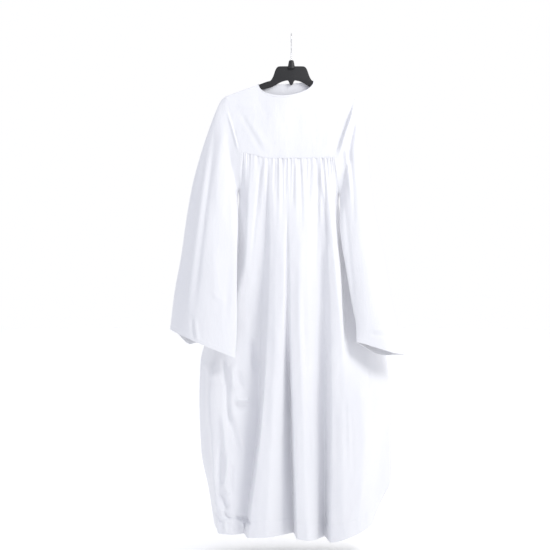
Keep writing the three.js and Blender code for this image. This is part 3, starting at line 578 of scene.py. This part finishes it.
def sleeve_grid(side, around, v):
    """Outer face of a sleeve: around runs from the outer fold over the front and back."""
    rings = []
    for out, inner, front, back in SLEEVES[side]:
        anchors = [out, on_face(out, inner, FACE_OUTER, front[0]),
                   on_face(out, inner, FACE_INNER, front[1]),
                   inner, on_face(out, inner, FACE_INNER, back[1]),
                   on_face(out, inner, FACE_OUTER, back[0])]
        rings.append(closed_curve(anchors, around))
    front = around <= 0.5
    t = np.where(front, 2 * around, 2 - 2 * around)
    head = np.where(front[:, None], armhole_ring(side, FRONT, t), armhole_ring(side, BACK, t))
    rings = np.stack([head, *rings])
    order = np.arange(len(rings))
    at = np.broadcast_to((v * order[-1])[:, None], (len(v), len(around)))
    shape = (len(rings), *at.shape)
    axes = [smooth_through(order, np.broadcast_to(rings[:, None, :, k], shape), at)
            for k in range(3)]
    return np.stack(axes, axis=-1)


# -------------------- relief laid on the cloth
def outward_normals(grid, side, around=False):
    """Directions out of the garment at the points of a grid."""
    if around:
        across = np.roll(grid, -1, axis=1) - np.roll(grid, 1, axis=1)
    else:
        across = np.gradient(grid, axis=1)
    normal = np.cross(across, np.gradient(grid, axis=0)) * side
    return normal / np.maximum(np.linalg.norm(normal, axis=-1, keepdims=True), 1e-9)


def route(points):
    """Even points along the smooth line through a crease's places (x, z)."""
    points = np.array(points, float)
    ends = np.concatenate([2 * points[:1] - points[1:2], points, 2 * points[-1:] - points[-2:-1]])
    at = np.linspace(0, len(points) - 1 - 1e-6, CREASE["samples"])
    index = at.astype(int)
    w = (at - index)[:, None]
    a, b, c, d = (ends[index + k] for k in range(4))
    return 0.5 * (2 * b + (c - a) * w + (2 * a - 5 * b + 4 * c - d) * w**2
                  + (3 * b - a - 3 * c + d) * w**3)


def crease_relief(x, z, creases):
    """Height of all the creases at the places (x, z): ridges are positive, troughs negative."""
    relief = np.zeros(x.shape)
    for width, height, points in creases:
        line = route(points)
        reach = CREASE["reach"] * width
        near = ((x > line[:, 0].min() - reach) & (x < line[:, 0].max() + reach)
                & (z > line[:, 1].min() - reach) & (z < line[:, 1].max() + reach))
        place = np.stack([x[near], z[near]], axis=-1)
        if not len(place):
            continue
        best = np.full(len(place), np.inf)
        along = np.zeros(len(place))
        for k in range(len(line) - 1):
            step = line[k + 1] - line[k]
            share = np.clip((place - line[k]) @ step / (step @ step), 0, 1)
            distance = np.linalg.norm(place - line[k] - share[:, None] * step, axis=1)
            closer = distance < best
            best = np.where(closer, distance, best)
            along = np.where(closer, (k + share) / (len(line) - 1), along)
        taper = smoothstep(along, 0, CREASE["taper"]) * smoothstep(1 - along, 0, CREASE["taper"])
        relief[near] += height * taper * bell(best, width)
    return relief


def soft_waves(a, b, seed, length_a, length_b, count=9):
    """Slow uneven swell from seeded waves of about the given lengths, from -1 to 1."""
    random = np.random.default_rng(seed)
    total = np.zeros(np.broadcast(a, b).shape)
    for turn, stretch, phase in zip(random.uniform(0, math.tau, count),
                                    random.uniform(*WAVE_STRETCH, count),
                                    random.uniform(0, math.tau, count)):
        total += np.cos(math.tau * stretch * (a * math.cos(turn) / length_a
                                              + b * math.sin(turn) / length_b) + phase)
    return total / math.sqrt(2 * count)


# -------------------- materials
def new_material(name, **settings):
    """Principled material; settings are socket names with underscores for spaces."""
    material = bpy.data.materials.new(name)
    material.use_nodes = True
    shader = material.node_tree.nodes["Principled BSDF"]
    for key, value in settings.items():
        shader.inputs[key.replace("_", " ")].default_value = value
    return material, shader


def add_node(material, kind, links=(), **settings):
    """Node of a kind; links feed (input, node output), settings fill attributes or inputs."""
    node = material.node_tree.nodes.new(kind)
    for key, value in settings.items():
        if hasattr(node, key):
            setattr(node, key, value)
        else:
            node.inputs[key.replace("_", " ")].default_value = value
    for socket, source in links:
        material.node_tree.links.new(source, node.inputs[socket])
    return node


def feed(material, shader, **sources):
    """Links a node output to each named socket of a shader."""
    for socket, source in sources.items():
        material.node_tree.links.new(source, shader.inputs[socket.replace("_", " ")])


def coordinates_of(material, kind):
    return add_node(material, "ShaderNodeTexCoord").outputs[kind]


def noise(material, coordinates, scale, detail=2.0, **settings):
    """Noise of so many cells a metre, as one number or as (x, y, z)."""
    if isinstance(scale, tuple):
        mapped = add_node(material, "ShaderNodeMapping", [("Vector", coordinates)], Scale=scale)
        coordinates, scale = mapped.outputs[0], 1.0
    node = add_node(material, "ShaderNodeTexNoise", [("Vector", coordinates)], Scale=scale,
                    Detail=detail, **settings)
    return node.outputs["Fac"]


def ramp(material, source, stops):
    """Colour through stops of (place, colour)."""
    node = add_node(material, "ShaderNodeValToRGB", [("Fac", source)])
    while len(node.color_ramp.elements) < len(stops):
        node.color_ramp.elements.new(0.5)
    for element, (place, colour) in zip(node.color_ramp.elements, stops):
        element.position = place
        element.color = (*colour, 1)
    return node.outputs["Color"]


def spread(material, value, low, high):
    """A value from 0 to 1 spread between low and high."""
    node = add_node(material, "ShaderNodeMapRange", [("Value", value)], To_Min=low, To_Max=high)
    return node.outputs[0]


def combined(material, operation, *sources):
    node = add_node(material, "ShaderNodeMath", enumerate(sources), operation=operation)
    return node.outputs[0]


def bump(material, height, strength, distance, over=None):
    """Relief so many metres high, laid over another relief where one is given."""
    links = [("Height", height)] + ([("Normal", over)] if over is not None else [])
    node = add_node(material, "ShaderNodeBump", links, Strength=strength, Distance=distance)
    return node.outputs[0]


def cloth_material():
    """White plain weave: warp and weft threads, slubs, faint shade changes and soft sheen."""
    material, shader = new_material(
        "gown_cloth_white", Roughness=0.85, Sheen_Weight=0.3, Sheen_Roughness=0.45,
        Specular_IOR_Level=0.3)
    flat = coordinates_of(material, "UV")
    threads = [
        add_node(material, "ShaderNodeTexWave", [("Vector", flat)], wave_type="BANDS",
                 bands_direction=direction, wave_profile="SIN",
                 Scale=math.tau / (BAND_TURNS * THREAD_PITCH * MM), Distortion=0.6,
                 Detail=1.0, Detail_Scale=2.0).outputs["Fac"]
        for direction in ("X", "Y")]
    weave = combined(material, "MULTIPLY", *threads)
    slub = combined(material, "ADD", *[noise(material, flat, cells) for cells in SLUB_CELLS])
    height = add_node(material, "ShaderNodeMath", [(0, slub), (2, weave)], operation="MULTIPLY_ADD")
    height.inputs[1].default_value = SLUB_SHARE
    crush = noise(material, flat, (60, 28, 1), 5.0, Roughness=0.6)
    fine = bump(material, height.outputs[0], 0.35, 0.00018)
    tone = ramp(material, noise(material, flat, (9, 4, 1), 4.0),
                [(0.3, CLOTH_SHADE), (0.7, CLOTH_WHITE)])
    # painted shade: darker where the weave's relief dips between threads; the slubs add their own
    # uneven tone
    slub_tone_and_painted_weave_shade = ramp(material, height.outputs[0], [(0.2, (0.9,) * 3), (0.9, (1.0,) * 3)])
    mixed = add_node(material, "ShaderNodeMix", data_type="RGBA", blend_type="MULTIPLY")
    factor, first, second = (mixed.inputs[k] for k in (0, 6, 7))     # the mix node's colour sockets
    factor.default_value = 0.5
    material.node_tree.links.new(tone, first)
    material.node_tree.links.new(slub_tone_and_painted_weave_shade, second)
    feed(material, shader, Base_Color=mixed.outputs[2], Roughness=spread(material, slub, 0.74, 0.92),
         Normal=bump(material, crush, 0.5, 0.0016, over=fine))
    return material


def thread_material():
    """Sewing thread: a little smoother and brighter than the cloth, with its twist and painted shade
    in the hollows of the twist.
    """
    material, shader = new_material("gown_thread", Roughness=0.5, Sheen_Weight=0.2)
    twist = noise(material, coordinates_of(material, "Object"), 2500.0)
    # painted shade: the colour ramp darkens the thread where its twist relief is low
    feed(material, shader, Normal=bump(material, twist, 0.3, 0.0001),
         Base_Color=ramp(material, twist, [(0.3, THREAD_PAINTED_SHADE), (0.7, CLOTH_WHITE)]))
    return material


def plastic_material():
    """Black moulded plastic: fine spark texture, scuffs and dust on it."""
    material, shader = new_material("hanger_black_plastic", Roughness=0.5, Specular_IOR_Level=0.5)
    place = coordinates_of(material, "Object")
    grain = noise(material, place, 1400.0, 3.0)
    scuff = noise(material, place, (30, 30, 160), 6.0)
    colour = ramp(material, scuff, [(0.35, PLASTIC_BLACK), (0.62, PLASTIC_BLACK),
                                    (0.75, PLASTIC_WORN)])
    feed(material, shader, Base_Color=colour, Roughness=spread(material, scuff, 0.4, 0.66),
         Normal=bump(material, grain, 0.35, 0.0002))
    return material


def wire_material():
    """Bright plated wire with drawing lines and small rubbed places."""
    material, shader = new_material("hook_bright_wire", Metallic=1.0, Roughness=0.25)
    place = coordinates_of(material, "Object")
    rubbed = noise(material, place, 260.0, 5.0)
    drawn = noise(material, place, (4000, 4000, 120))
    feed(material, shader, Roughness=spread(material, rubbed, 0.38, 0.16),
         Base_Color=ramp(material, rubbed, [(0.35, WIRE_DULL), (0.6, WIRE_BRIGHT)]),
         Normal=bump(material, drawn, 0.15, 0.00005))
    return material


def floor_material():
    """Pale floor with a faint change of tone and a little glow of its own."""
    material, shader = new_material("studio_floor", Roughness=0.9, Specular_IOR_Level=0.1)
    shader.inputs["Emission Color"].default_value = (1, 1, 1, 1)
    shader.inputs["Emission Strength"].default_value = FLOOR["glow"]
    tone = noise(material, coordinates_of(material, "Object"), 1.5, 3.0)
    feed(material, shader, Base_Color=ramp(material, tone, FLOOR["tones"]))
    return material


LOOKS = {"cloth": cloth_material(), "thread": thread_material(), "plastic": plastic_material(),
         "wire": wire_material()}


# -------------------- meshes
def add_piece(name, mesh, look):
    mesh.materials.append(LOOKS[look])
    mesh.shade_smooth()
    mesh.set_sharp_from_angle(angle=SHARP_ANGLE)
    piece = bpy.data.objects.new(name, mesh)
    bpy.context.scene.collection.objects.link(piece)
    return piece


def dress(piece, slot, *nodes):
    """The piece goes with the body and stands for CAD nodes, which are hidden; slot is not used."""
    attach(piece, "root")
    if nodes:
        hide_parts(*nodes)
    return piece


def lengths_along(grid, axis):
    """Distance over the cloth from the first row or column, in mm."""
    steps = np.linalg.norm(np.diff(grid, axis=axis), axis=-1)
    zero = np.zeros_like(np.take(steps, [0], axis=axis))
    return np.concatenate([zero, np.cumsum(steps, axis=axis)], axis=axis)


def closed_round(grid):
    """A tube's grid with its first column repeated after the last."""
    return np.concatenate([grid, grid[:, :1]], axis=1)


def strip(a, b, flipped):
    """Quads between two lines of corners, each corner (vertex, place on the flat cloth)."""
    quads = np.stack([a[:, :-1], a[:, 1:], b[:, 1:], b[:, :-1]], axis=-1)
    return quads[:, :, ::-1] if flipped else quads


def cloth_shell(name, grid, side, thickness, around=False):
    """Thin closed shell: the grid is its outer face, side +1 where across x down points out."""
    rows, columns = grid.shape[:2]
    inner = grid - outward_normals(grid, side, around) * thickness[..., None]
    points = np.concatenate([grid.reshape(-1, 3), inner.reshape(-1, 3)])
    whole = closed_round(grid) if around else grid
    across = lengths_along(whole, 1)
    across -= across[:, [whole.shape[1] // 2]]
    flat = np.stack([across, -lengths_along(whole, 0)], axis=-1) * MM

    column = np.arange(whole.shape[1])
    row = np.arange(rows)[:, None]
    index = row * columns + column % columns
    place = row * whole.shape[1] + column
    outer_at, inner_at = np.stack([index, place]), np.stack([index + rows * columns, place])
    turned = side < 0
    quads = []
    for r in range(rows - 1):
        quads.append(strip(outer_at[:, r], outer_at[:, r + 1], turned))
        quads.append(strip(inner_at[:, r], inner_at[:, r + 1], not turned))
    quads.append(strip(outer_at[:, -1], inner_at[:, -1], turned))
    quads.append(strip(inner_at[:, 0], outer_at[:, 0], turned))
    if not around:
        quads.append(strip(outer_at[:, :, 0], inner_at[:, :, 0], turned))
        quads.append(strip(inner_at[:, :, -1], outer_at[:, :, -1], turned))
    corners, corner_places = np.concatenate(quads, axis=1)

    mesh = bpy.data.meshes.new(name)
    mesh.from_pydata((points * MM).tolist(), [], corners.tolist())
    layer = mesh.uv_layers.new(name="flat_cloth")
    layer.data.foreach_set("uv", flat.reshape(-1, 2)[corner_places.ravel()].ravel())
    return add_piece(name, mesh, "cloth")


# -------------------- stitches
stitch_rows = {"neck": [], "yoke": [], "hem": [], "cuffs": []}      # filled as the cloth is made


def inset_line(grid, normals, inset):
    """Places and outward directions at a distance up from the lower edge of a grid."""
    up = edge_distances(grid)[3]
    places, outs = [], []
    for c in range(grid.shape[1]):
        height, column, out = up[::-1, c], grid[::-1, c], normals[::-1, c]
        places.append([np.interp(inset, height, column[:, k]) for k in range(3)])
        outs.append([np.interp(inset, height, out[:, k]) for k in range(3)])
    return np.array(places), np.array(outs)


def points_along(path_lengths, table, at):
    return np.stack([np.interp(at, path_lengths, table[:, k]) for k in range(3)], -1)


def stitch_along(kind, path, normals):
    """Keeps a row of stitches along a path: (middle, direction, outward) for each."""
    pitch, lengths = STITCH["pitch"], lengths_along(path, 0)
    middles = np.arange(pitch, lengths[-1] - pitch, pitch)
    along = (points_along(lengths, path, middles + pitch / 2)
             - points_along(lengths, path, middles - pitch / 2))
    along /= np.linalg.norm(along, axis=1, keepdims=True)
    outward = points_along(lengths, normals, middles)
    outward -= along * np.sum(along * outward, axis=1, keepdims=True)
    outward /= np.linalg.norm(outward, axis=1, keepdims=True)
    stitch_rows[kind].append((points_along(lengths, path, middles), along, outward))


def make_stitches(kind):
    """One mesh of small thread loops that dip into the cloth at both ends."""
    middle, along, outward = (np.concatenate(part) for part in zip(*stitch_rows[kind]))
    beside = np.cross(along, outward)
    turns = np.arange(STITCH["sides"]) * math.tau / STITCH["sides"]
    rings = []
    for place, lift, radius in STITCH_RINGS:
        centre = middle + along * place * STITCH["length"] + outward * lift * STITCH["radius"]
        ring = [centre + STITCH["radius"] * radius * (outward * math.cos(t) + beside * math.sin(t))
                for t in turns]
        rings.append(np.stack(ring, axis=1))
    points = np.stack(rings, axis=1)
    index = np.arange(points[..., 0].size).reshape(points.shape[:3])
    after = np.roll(index, -1, axis=2)
    quads = np.stack([index[:, :-1], after[:, :-1], after[:, 1:], index[:, 1:]], axis=-1)
    caps = index[:, 0, ::-1].tolist() + index[:, -1].tolist()
    name = f"stitches_{kind}"
    mesh = bpy.data.meshes.new(name)
    mesh.from_pydata((points.reshape(-1, 3) * MM).tolist(), [],
                     quads.reshape(-1, 4).tolist() + caps)
    return dress(add_piece(name, mesh, "thread"), "gown_cloth")


# -------------------- pieces of cloth
def relief_of(grid, creases, waves, seed):
    """Creases and slow uneven swell at the points of a grid, in mm."""
    x, z = grid[..., 0], grid[..., 2]
    across, down, ripples = WAVE["across"], WAVE["down"], WAVE["ripples"]
    swell = soft_waves(x, z, seed, across, down)
    ripple = soft_waves(x, z, seed + 1, across / ripples, down / ripples)
    return crease_relief(x, z, creases) + waves * (WAVE["height"] * swell + WAVE["ripple"] * ripple)


def sewn_dip(distance):
    """How far the cloth rolls in at a seam."""
    return -SEAM_ROLL["depth"] * bell(distance, SEAM_ROLL["width"])


def hem_relief(up, along, depth, seed):
    """A turned hem: its second layer, the pressed line of stitches and the puckers by it."""
    layer = HEM_LOOK["layer"] * smoothstep(depth - up, -HEM_LOOK["step"], HEM_LOOK["step"])
    line = -HEM_LOOK["groove"] * bell(up - depth, HEM_LOOK["groove_width"])
    usual, change = HEM_LOOK["uneven"]
    uneven = usual + change * soft_waves(along, up, seed, *HEM_LOOK["uneven_over"])
    pucker = np.cos(math.tau * along / HEM_LOOK["pitch"] + HEM_LOOK["stray"] * uneven)
    near = bell(up - depth, HEM_LOOK["pucker_reach"] * depth)
    return layer + line + HEM_LOOK["pucker"] * uneven * pucker * near


def edge_distances(grid):
    """Distances over the cloth from the grid's left, right, upper and lower edges."""
    across, down = lengths_along(grid, 1), lengths_along(grid, 0)
    return across, across[:, -1:] - across, down, down[-1:] - down


def make_yoke(name, facing, creases, left_end, right_end, neck_drop):
    """A yoke panel; each end is its place across at the shoulder and at the seam below."""
    grid = yoke_grid(facing, left_end, right_end, neck_drop)
    left, right, down, up = edge_distances(grid)
    neck = (np.abs(grid[0, :, 0] - NECK["centre"]) < NECK["half"] + NECK_EDGE["past"])[None, :]
    turned = smoothstep(NECK_EDGE["depth"] - down, -NECK_EDGE["step"], NECK_EDGE["step"])
    groove = bell(down - NECK_EDGE["depth"], NECK_EDGE["groove_width"])
    waves = WAVE["on_yoke"] * smoothstep(down, *WAVES_GROW["yoke"])
    relief = relief_of(grid, creases, waves, SEEDS[name])
    relief += sewn_dip(left) + sewn_dip(right) + sewn_dip(up)
    relief += np.where(neck, NECK_EDGE["layer"] * turned - NECK_EDGE["groove"] * groove,
                       sewn_dip(down))
    grid = grid + outward_normals(grid, facing) * relief[..., None]
    normals = outward_normals(grid, facing)
    thickness = np.where(neck, lerp(CLOTH, NECK_EDGE["thick"], turned), CLOTH)
    piece = cloth_shell(f"cloth_{name}", grid, facing, thickness)
    at_neck = np.flatnonzero(neck[0])
    stitch_along("neck", *inset_line(grid[::-1][:, at_neck], normals[::-1][:, at_neck],
                                     NECK_EDGE["depth"]))
    stitch_along("yoke", *inset_line(grid, normals, YOKE_TOPSTITCH))
    return dress(piece, "gown_cloth", name)


def swing(name, u):
    """Slow sway of the gathers across a panel."""
    amount, turns, phase = GATHER_SWINGS[name]
    return amount * np.sin(math.tau * turns * u + phase)


def gathers(u, below, counts, seed):
    """Uneven gathers below the yoke: long soft ones with short close ones between them."""
    long_count, close_count = counts
    place = u * 100                     # across the panel in percent, for the slow waves
    length = GATHER["length"] + swing("length", u)
    depth = GATHER["depth"] * (GATHER["evenness"] + swing("depth", u))
    turns = math.tau * long_count * u + swing("spacing", u)
    long_ones = depth * np.maximum(1 - below / length, 0) * np.cos(turns)
    wander = GATHER["wander"] * soft_waves(place, below, seed, *GATHER["wander_over"])
    usual, change = GATHER["close_share"]
    uneven = soft_waves(place, 0 * below, seed + 3, *GATHER["close_over"])
    reach = GATHER["close_length"] * (usual + change * uneven)
    fade = np.exp(-np.maximum(below - GATHER["close_start"], 0)
                  / np.maximum(reach, GATHER["close_shortest"]))
    close_ones = GATHER["close_depth"] * fade * np.cos(math.tau * close_count * u + wander)
    return smoothstep(np.minimum(u, 1 - u), 0, GATHER["ends"]) * (long_ones + close_ones)


def make_skirt(name, facing, places, columns, counts, creases):
    """A skirt panel through its edges and folds; counts are its long and its close gathers."""
    seed = SEEDS[name]
    u = shares_of(*columns)
    grid = skirt_grid(places, u, shares_of(*SKIRT_ROWS))
    left, right, down, up = edge_distances(grid)
    relief = relief_of(grid, creases, smoothstep(down, *WAVES_GROW["skirt"]), seed)
    relief += gathers(u[None, :], down, counts, seed + 7)
    relief += hem_relief(up, left, SKIRT_HEM, seed + 11)
    relief *= smoothstep(np.minimum(left, right), 0, SIDE_SEAM_CALM)
    relief += sewn_dip(left) + sewn_dip(right) + sewn_dip(down)
    grid = grid + outward_normals(grid, facing) * relief[..., None]
    normals = outward_normals(grid, facing)
    step = HEM_LOOK["step"]
    thickness = lerp(CLOTH, HEM_LOOK["thick"], smoothstep(SKIRT_HEM - up, -step, step))
    piece = cloth_shell(f"cloth_{name}", grid, facing, thickness)
    stitch_along("hem", *inset_line(grid, normals, SKIRT_HEM - STITCH_FROM_FOLD))
    return dress(piece, "gown_cloth", name)


def cuff_drop(side, around):
    """How much lower than its solid a cuff hangs round its edge."""
    drop = CUFF_DROPS[side]
    return (drop["level"] + drop["tilt"] * np.cos(math.tau * around)
            + drop["back"] * bell(around - drop["back_at"], drop["back_width"]))


def make_sleeve(side, front_creases):
    name = f"sleeve_{side}"
    seed = SEEDS[name]
    winding = 1 if side == "left" else -1
    around = np.arange(SLEEVE_COLUMNS) / SLEEVE_COLUMNS
    v = shares_of(*SLEEVE_ROWS)
    grid = sleeve_grid(side, around, v)
    down = lengths_along(grid, 0)
    up = down[-1:] - down
    along = lengths_along(closed_round(grid), 1)[:, :-1]
    from_fold = np.abs(np.sin(math.tau * around))[None, :]
    x, z = grid[..., 0], grid[..., 2]
    relief = np.where((around < 0.5)[None, :], crease_relief(x, z, front_creases),
                      crease_relief(x, z, SLEEVE_BACK_CREASES))
    relief *= smoothstep(from_fold, 0, FOLD_CALM["creases"]) * smoothstep(down, *ARMHOLE_CALM)
    swell = soft_waves(x, z, seed, WAVE["across"], WAVE["down"])
    swell *= smoothstep(down, *WAVES_GROW["sleeve"]) * smoothstep(from_fold, 0, FOLD_CALM["waves"])
    relief += WAVE["height"] * WAVE["on_sleeve"] * swell
    relief += hem_relief(up, along, CUFF_HEM, seed + 5) + sewn_dip(down)
    grid = grid + outward_normals(grid, winding, True) * relief[..., None]
    grid[..., 2] -= cuff_drop(side, around)[None, :] * smoothstep(v, *CUFF_DROPS_FROM)[:, None]
    normals = outward_normals(grid, winding, True)
    thickness = lerp(CLOTH, HEM_LOOK["thick"], smoothstep(CUFF_HEM - up, -CUFF_STEP, CUFF_STEP))
    piece = cloth_shell(f"cloth_{name}", grid, winding, thickness, around=True)
    stitch_along("cuffs", *inset_line(closed_round(grid), closed_round(normals),
                                      CUFF_HEM - STITCH_FROM_FOLD))
    return dress(piece, "gown_cloth", f"{name}_front", f"{name}_back")


# -------------------- hanger
def arm_bottom(x):
    return float(arm_top(x)) - HANGER["arm_height"]


def hanger_outline():
    """Hanger seen from the front: crown, arms with rounded tips, lower edge and centre tab."""
    tip = HANGER["half_width"]
    tip_top = float(arm_top(tip - 10))
    half = [(38, -102), (44.5, -104.5), (50, -113), (56.5, -133), (62, -143.5), (66.5, -148.4),
            (75, float(arm_top(75))), (tip - 10, tip_top), (tip - 3, tip_top - 4),
            (tip, tip_top - 9), (tip - 1, tip_top - 15), (tip - 6, tip_top - 19),
            (tip - 12, arm_bottom(tip - 12)), (92, arm_bottom(92)), (70, -170), (57, -165),
            (44, -157.5), (31.5, -150.5), (20, -147), (11, -145.5), (8, -149), (3.5, -161)]
    outline = np.array(half + [(-x, z) for x, z in reversed(half)], float)
    for _ in range(2):                       # corners cut twice make the moulded curves
        after = np.roll(outline, -1, axis=0)
        near = np.minimum(0.25, CORNER_CUT / np.linalg.norm(after - outline, axis=1))[:, None]
        outline = np.stack([lerp(outline, after, near), lerp(after, outline, near)], axis=1)
        outline = outline.reshape(-1, 2)
    return outline


def make_hanger():
    """Moulded plate of the hanger with rounded rims."""
    mesh = bmesh.new()
    half_depth = HANGER["thickness"] / 2
    corners = [mesh.verts.new((x * MM, -half_depth * MM, z * MM)) for x, z in hanger_outline()]
    face = mesh.faces.new(corners)
    pushed = bmesh.ops.extrude_face_region(mesh, geom=[face])
    moved = [part for part in pushed["geom"] if isinstance(part, bmesh.types.BMVert)]
    bmesh.ops.translate(mesh, verts=moved, vec=(0, 2 * half_depth * MM, 0))
    rims = [edge for edge in mesh.edges
            if abs(edge.verts[0].co.y - edge.verts[1].co.y) < 1e-9]
    bmesh.ops.bevel(mesh, geom=rims, offset=HANGER["rim"] * MM, segments=4, profile=0.5,
                    affect="EDGES", clamp_overlap=True)
    bmesh.ops.recalc_face_normals(mesh, faces=mesh.faces)
    made = bpy.data.meshes.new("hanger_plate")
    mesh.to_mesh(made)
    mesh.free()
    return dress(add_piece("hanger_plate", made, "plastic"), "hanger_plastic", "hanger")


def make_boss():
    """Round boss that holds the hook, with a rounded top and a small collar round the wire."""
    turn = np.arange(BOSS_SIDES) * math.tau / BOSS_SIDES
    points = [[radius * math.cos(t), radius * math.sin(t), z]
              for radius, z in BOSS_PROFILE for t in turn]
    index = np.arange(len(points)).reshape(-1, BOSS_SIDES)
    below, after = np.roll(index, -1, axis=0), np.roll(index, -1, axis=1)
    quads = np.stack([index, below, np.roll(below, -1, axis=1), after], axis=-1).reshape(-1, 4)
    mesh = bpy.data.meshes.new("hanger_boss")
    mesh.from_pydata((np.array(points) * MM).tolist(), [], quads.tolist())
    return dress(add_piece("hanger_boss", mesh, "plastic"), "hanger_plastic")


def make_hook():
    """Wire hook: straight stem, a turn to the front, round over the rail, rounded tip."""
    wire, bend, stem_top = HOOK["wire"], HOOK["bend"], HOOK["stem_top"]
    turns = np.radians([*range(HOOK["turn_start"], HOOK["tip_angle"], -HOOK["turn_step"]),
                        HOOK["tip_angle"]])
    points = [(0, z) for z in HOOK["stem"]]
    points += [(0, stem_top), (-bend / 4, stem_top + HOOK["lead"])]
    points += [(bend * math.cos(t), wire - bend + bend * math.sin(t)) for t in turns]
    curve = bpy.data.curves.new("hanger_hook_wire", "CURVE")
    curve.dimensions = "3D"
    curve.bevel_depth = wire * MM
    curve.bevel_resolution = 6
    curve.use_fill_caps = True
    spline = curve.splines.new("NURBS")
    spline.points.add(len(points) - 1)
    spline.order_u = 3
    spline.resolution_u = 6
    spline.use_endpoint_u = True
    for place, (y, z) in zip(spline.points, points):
        place.co = (0, y * MM, z * MM, 1)
    spline.points[-1].radius = HOOK["tip_size"]
    curve.materials.append(LOOKS["wire"])
    hook = bpy.data.objects.new("hanger_hook_wire", curve)
    bpy.context.scene.collection.objects.link(hook)
    return dress(hook, "hook_wire", "hanger_hook")


# -------------------- studio
def add_camera():
    camera = bpy.data.cameras.new("camera")
    camera.sensor_width = 36
    camera.lens = camera.sensor_width * CAMERA["distance"] / CAMERA["view_width"]
    eye = bpy.data.objects.new("camera", camera)
    eye.location = (CAMERA["x"], -CAMERA["distance"], CAMERA["z"])
    eye.rotation_euler = (math.pi / 2, 0, 0)
    bpy.context.scene.collection.objects.link(eye)
    bpy.context.scene.camera = eye


def add_light(name, location, target, size, power, colour):
    light = bpy.data.lights.new(name, "AREA")
    light.shape = "DISK"
    light.size = size
    light.energy = power
    light.color = colour
    lamp = bpy.data.objects.new(name, light)
    lamp.location = location
    lamp.rotation_euler = (Vector(target) - Vector(location)).to_track_quat("-Z", "Y").to_euler()
    bpy.context.scene.collection.objects.link(lamp)


def add_world():
    """White studio that grows brighter towards one side."""
    world = bpy.data.worlds.new("studio")
    world.use_nodes = True
    towards = add_node(world, "ShaderNodeVectorMath", [(0, coordinates_of(world, "Generated"))],
                       operation="DOT_PRODUCT")
    towards.inputs[1].default_value = WORLD_SIDE
    share = add_node(world, "ShaderNodeMapRange", [("Value", towards.outputs["Value"])],
                     From_Min=-1.0, From_Max=1.0)
    feed(world, world.node_tree.nodes["Background"],
         Color=ramp(world, share.outputs[0], WORLD_STOPS))
    bpy.context.scene.world = world


def add_studio():
    bpy.context.scene.view_settings.view_transform = "Standard"
    add_world()
    bpy.ops.mesh.primitive_circle_add(vertices=96, radius=FLOOR["radius"], fill_type="NGON",
                                      location=(0, 0, FLOOR["z"]))
    floor = bpy.context.object
    floor.name = "studio_floor"
    floor.data.materials.append(floor_material())
    for light in LIGHTS:
        add_light(*light)


# -------------------- assembly
def centre_back(shift, z):
    x, y = fold_place(BACK_CENTRE, BACK, z)
    return x + shift, y


def fold_places(folds, facing):
    return [partial(fold_place, fold, facing) for fold in folds]


def make_yokes():
    left = (SHOULDER["left"], HOLES["left"]["yoke"])
    right = (SHOULDER["right"], HOLES["right"]["yoke"])
    centre_left, centre_right = [[NECK["centre"] + gap] * 2 for gap in (-SEAM_HALF, SEAM_HALF)]
    drop, back_drop = NECK["drop"], NECK["back_drop"]
    return {
        "yoke_front": make_yoke("yoke_front", FRONT, YOKE_CREASES, left, right, drop),
        "yoke_back_left": make_yoke(
            "yoke_back_left", BACK, YOKE_BACK_CREASES, left, centre_left, back_drop),
        "yoke_back_right": make_yoke(
            "yoke_back_right", BACK, YOKE_BACK_CREASES, centre_right, right, back_drop),
    }


def make_skirts():
    left_front, right_front, left_back, right_back = (
        partial(skirt_edge, side, facing) for facing in (FRONT, BACK) for side in ("left", "right"))
    front_places = [left_front, *fold_places(FRONT_FOLDS, FRONT), right_front]
    back_left_places = [left_back, *fold_places(BACK_LEFT_FOLDS, BACK),
                        partial(centre_back, -SEAM_HALF)]
    back_right_places = [partial(centre_back, SEAM_HALF), *fold_places(BACK_RIGHT_FOLDS, BACK),
                         right_back]
    return {
        "skirt_front": make_skirt(
            "skirt_front", FRONT, front_places, SKIRT_COLUMNS["front"], GATHERS["front"],
            FRONT_CREASES),
        "skirt_back_left": make_skirt(
            "skirt_back_left", BACK, back_left_places, SKIRT_COLUMNS["back"], GATHERS["back"],
            BACK_LEFT_CREASES),
        "skirt_back_right": make_skirt(
            "skirt_back_right", BACK, back_right_places, SKIRT_COLUMNS["back"], GATHERS["back"],
            BACK_RIGHT_CREASES),
    }


add_camera()
add_studio()
make_hanger()
make_boss()
make_hook()
panels = {
    **make_yokes(), **make_skirts(),
    "sleeve_left": make_sleeve("left", LEFT_SLEEVE_CREASES),
    "sleeve_right": make_sleeve("right", RIGHT_SLEEVE_CREASES),
}
for kind in stitch_rows:
    make_stitches(kind)
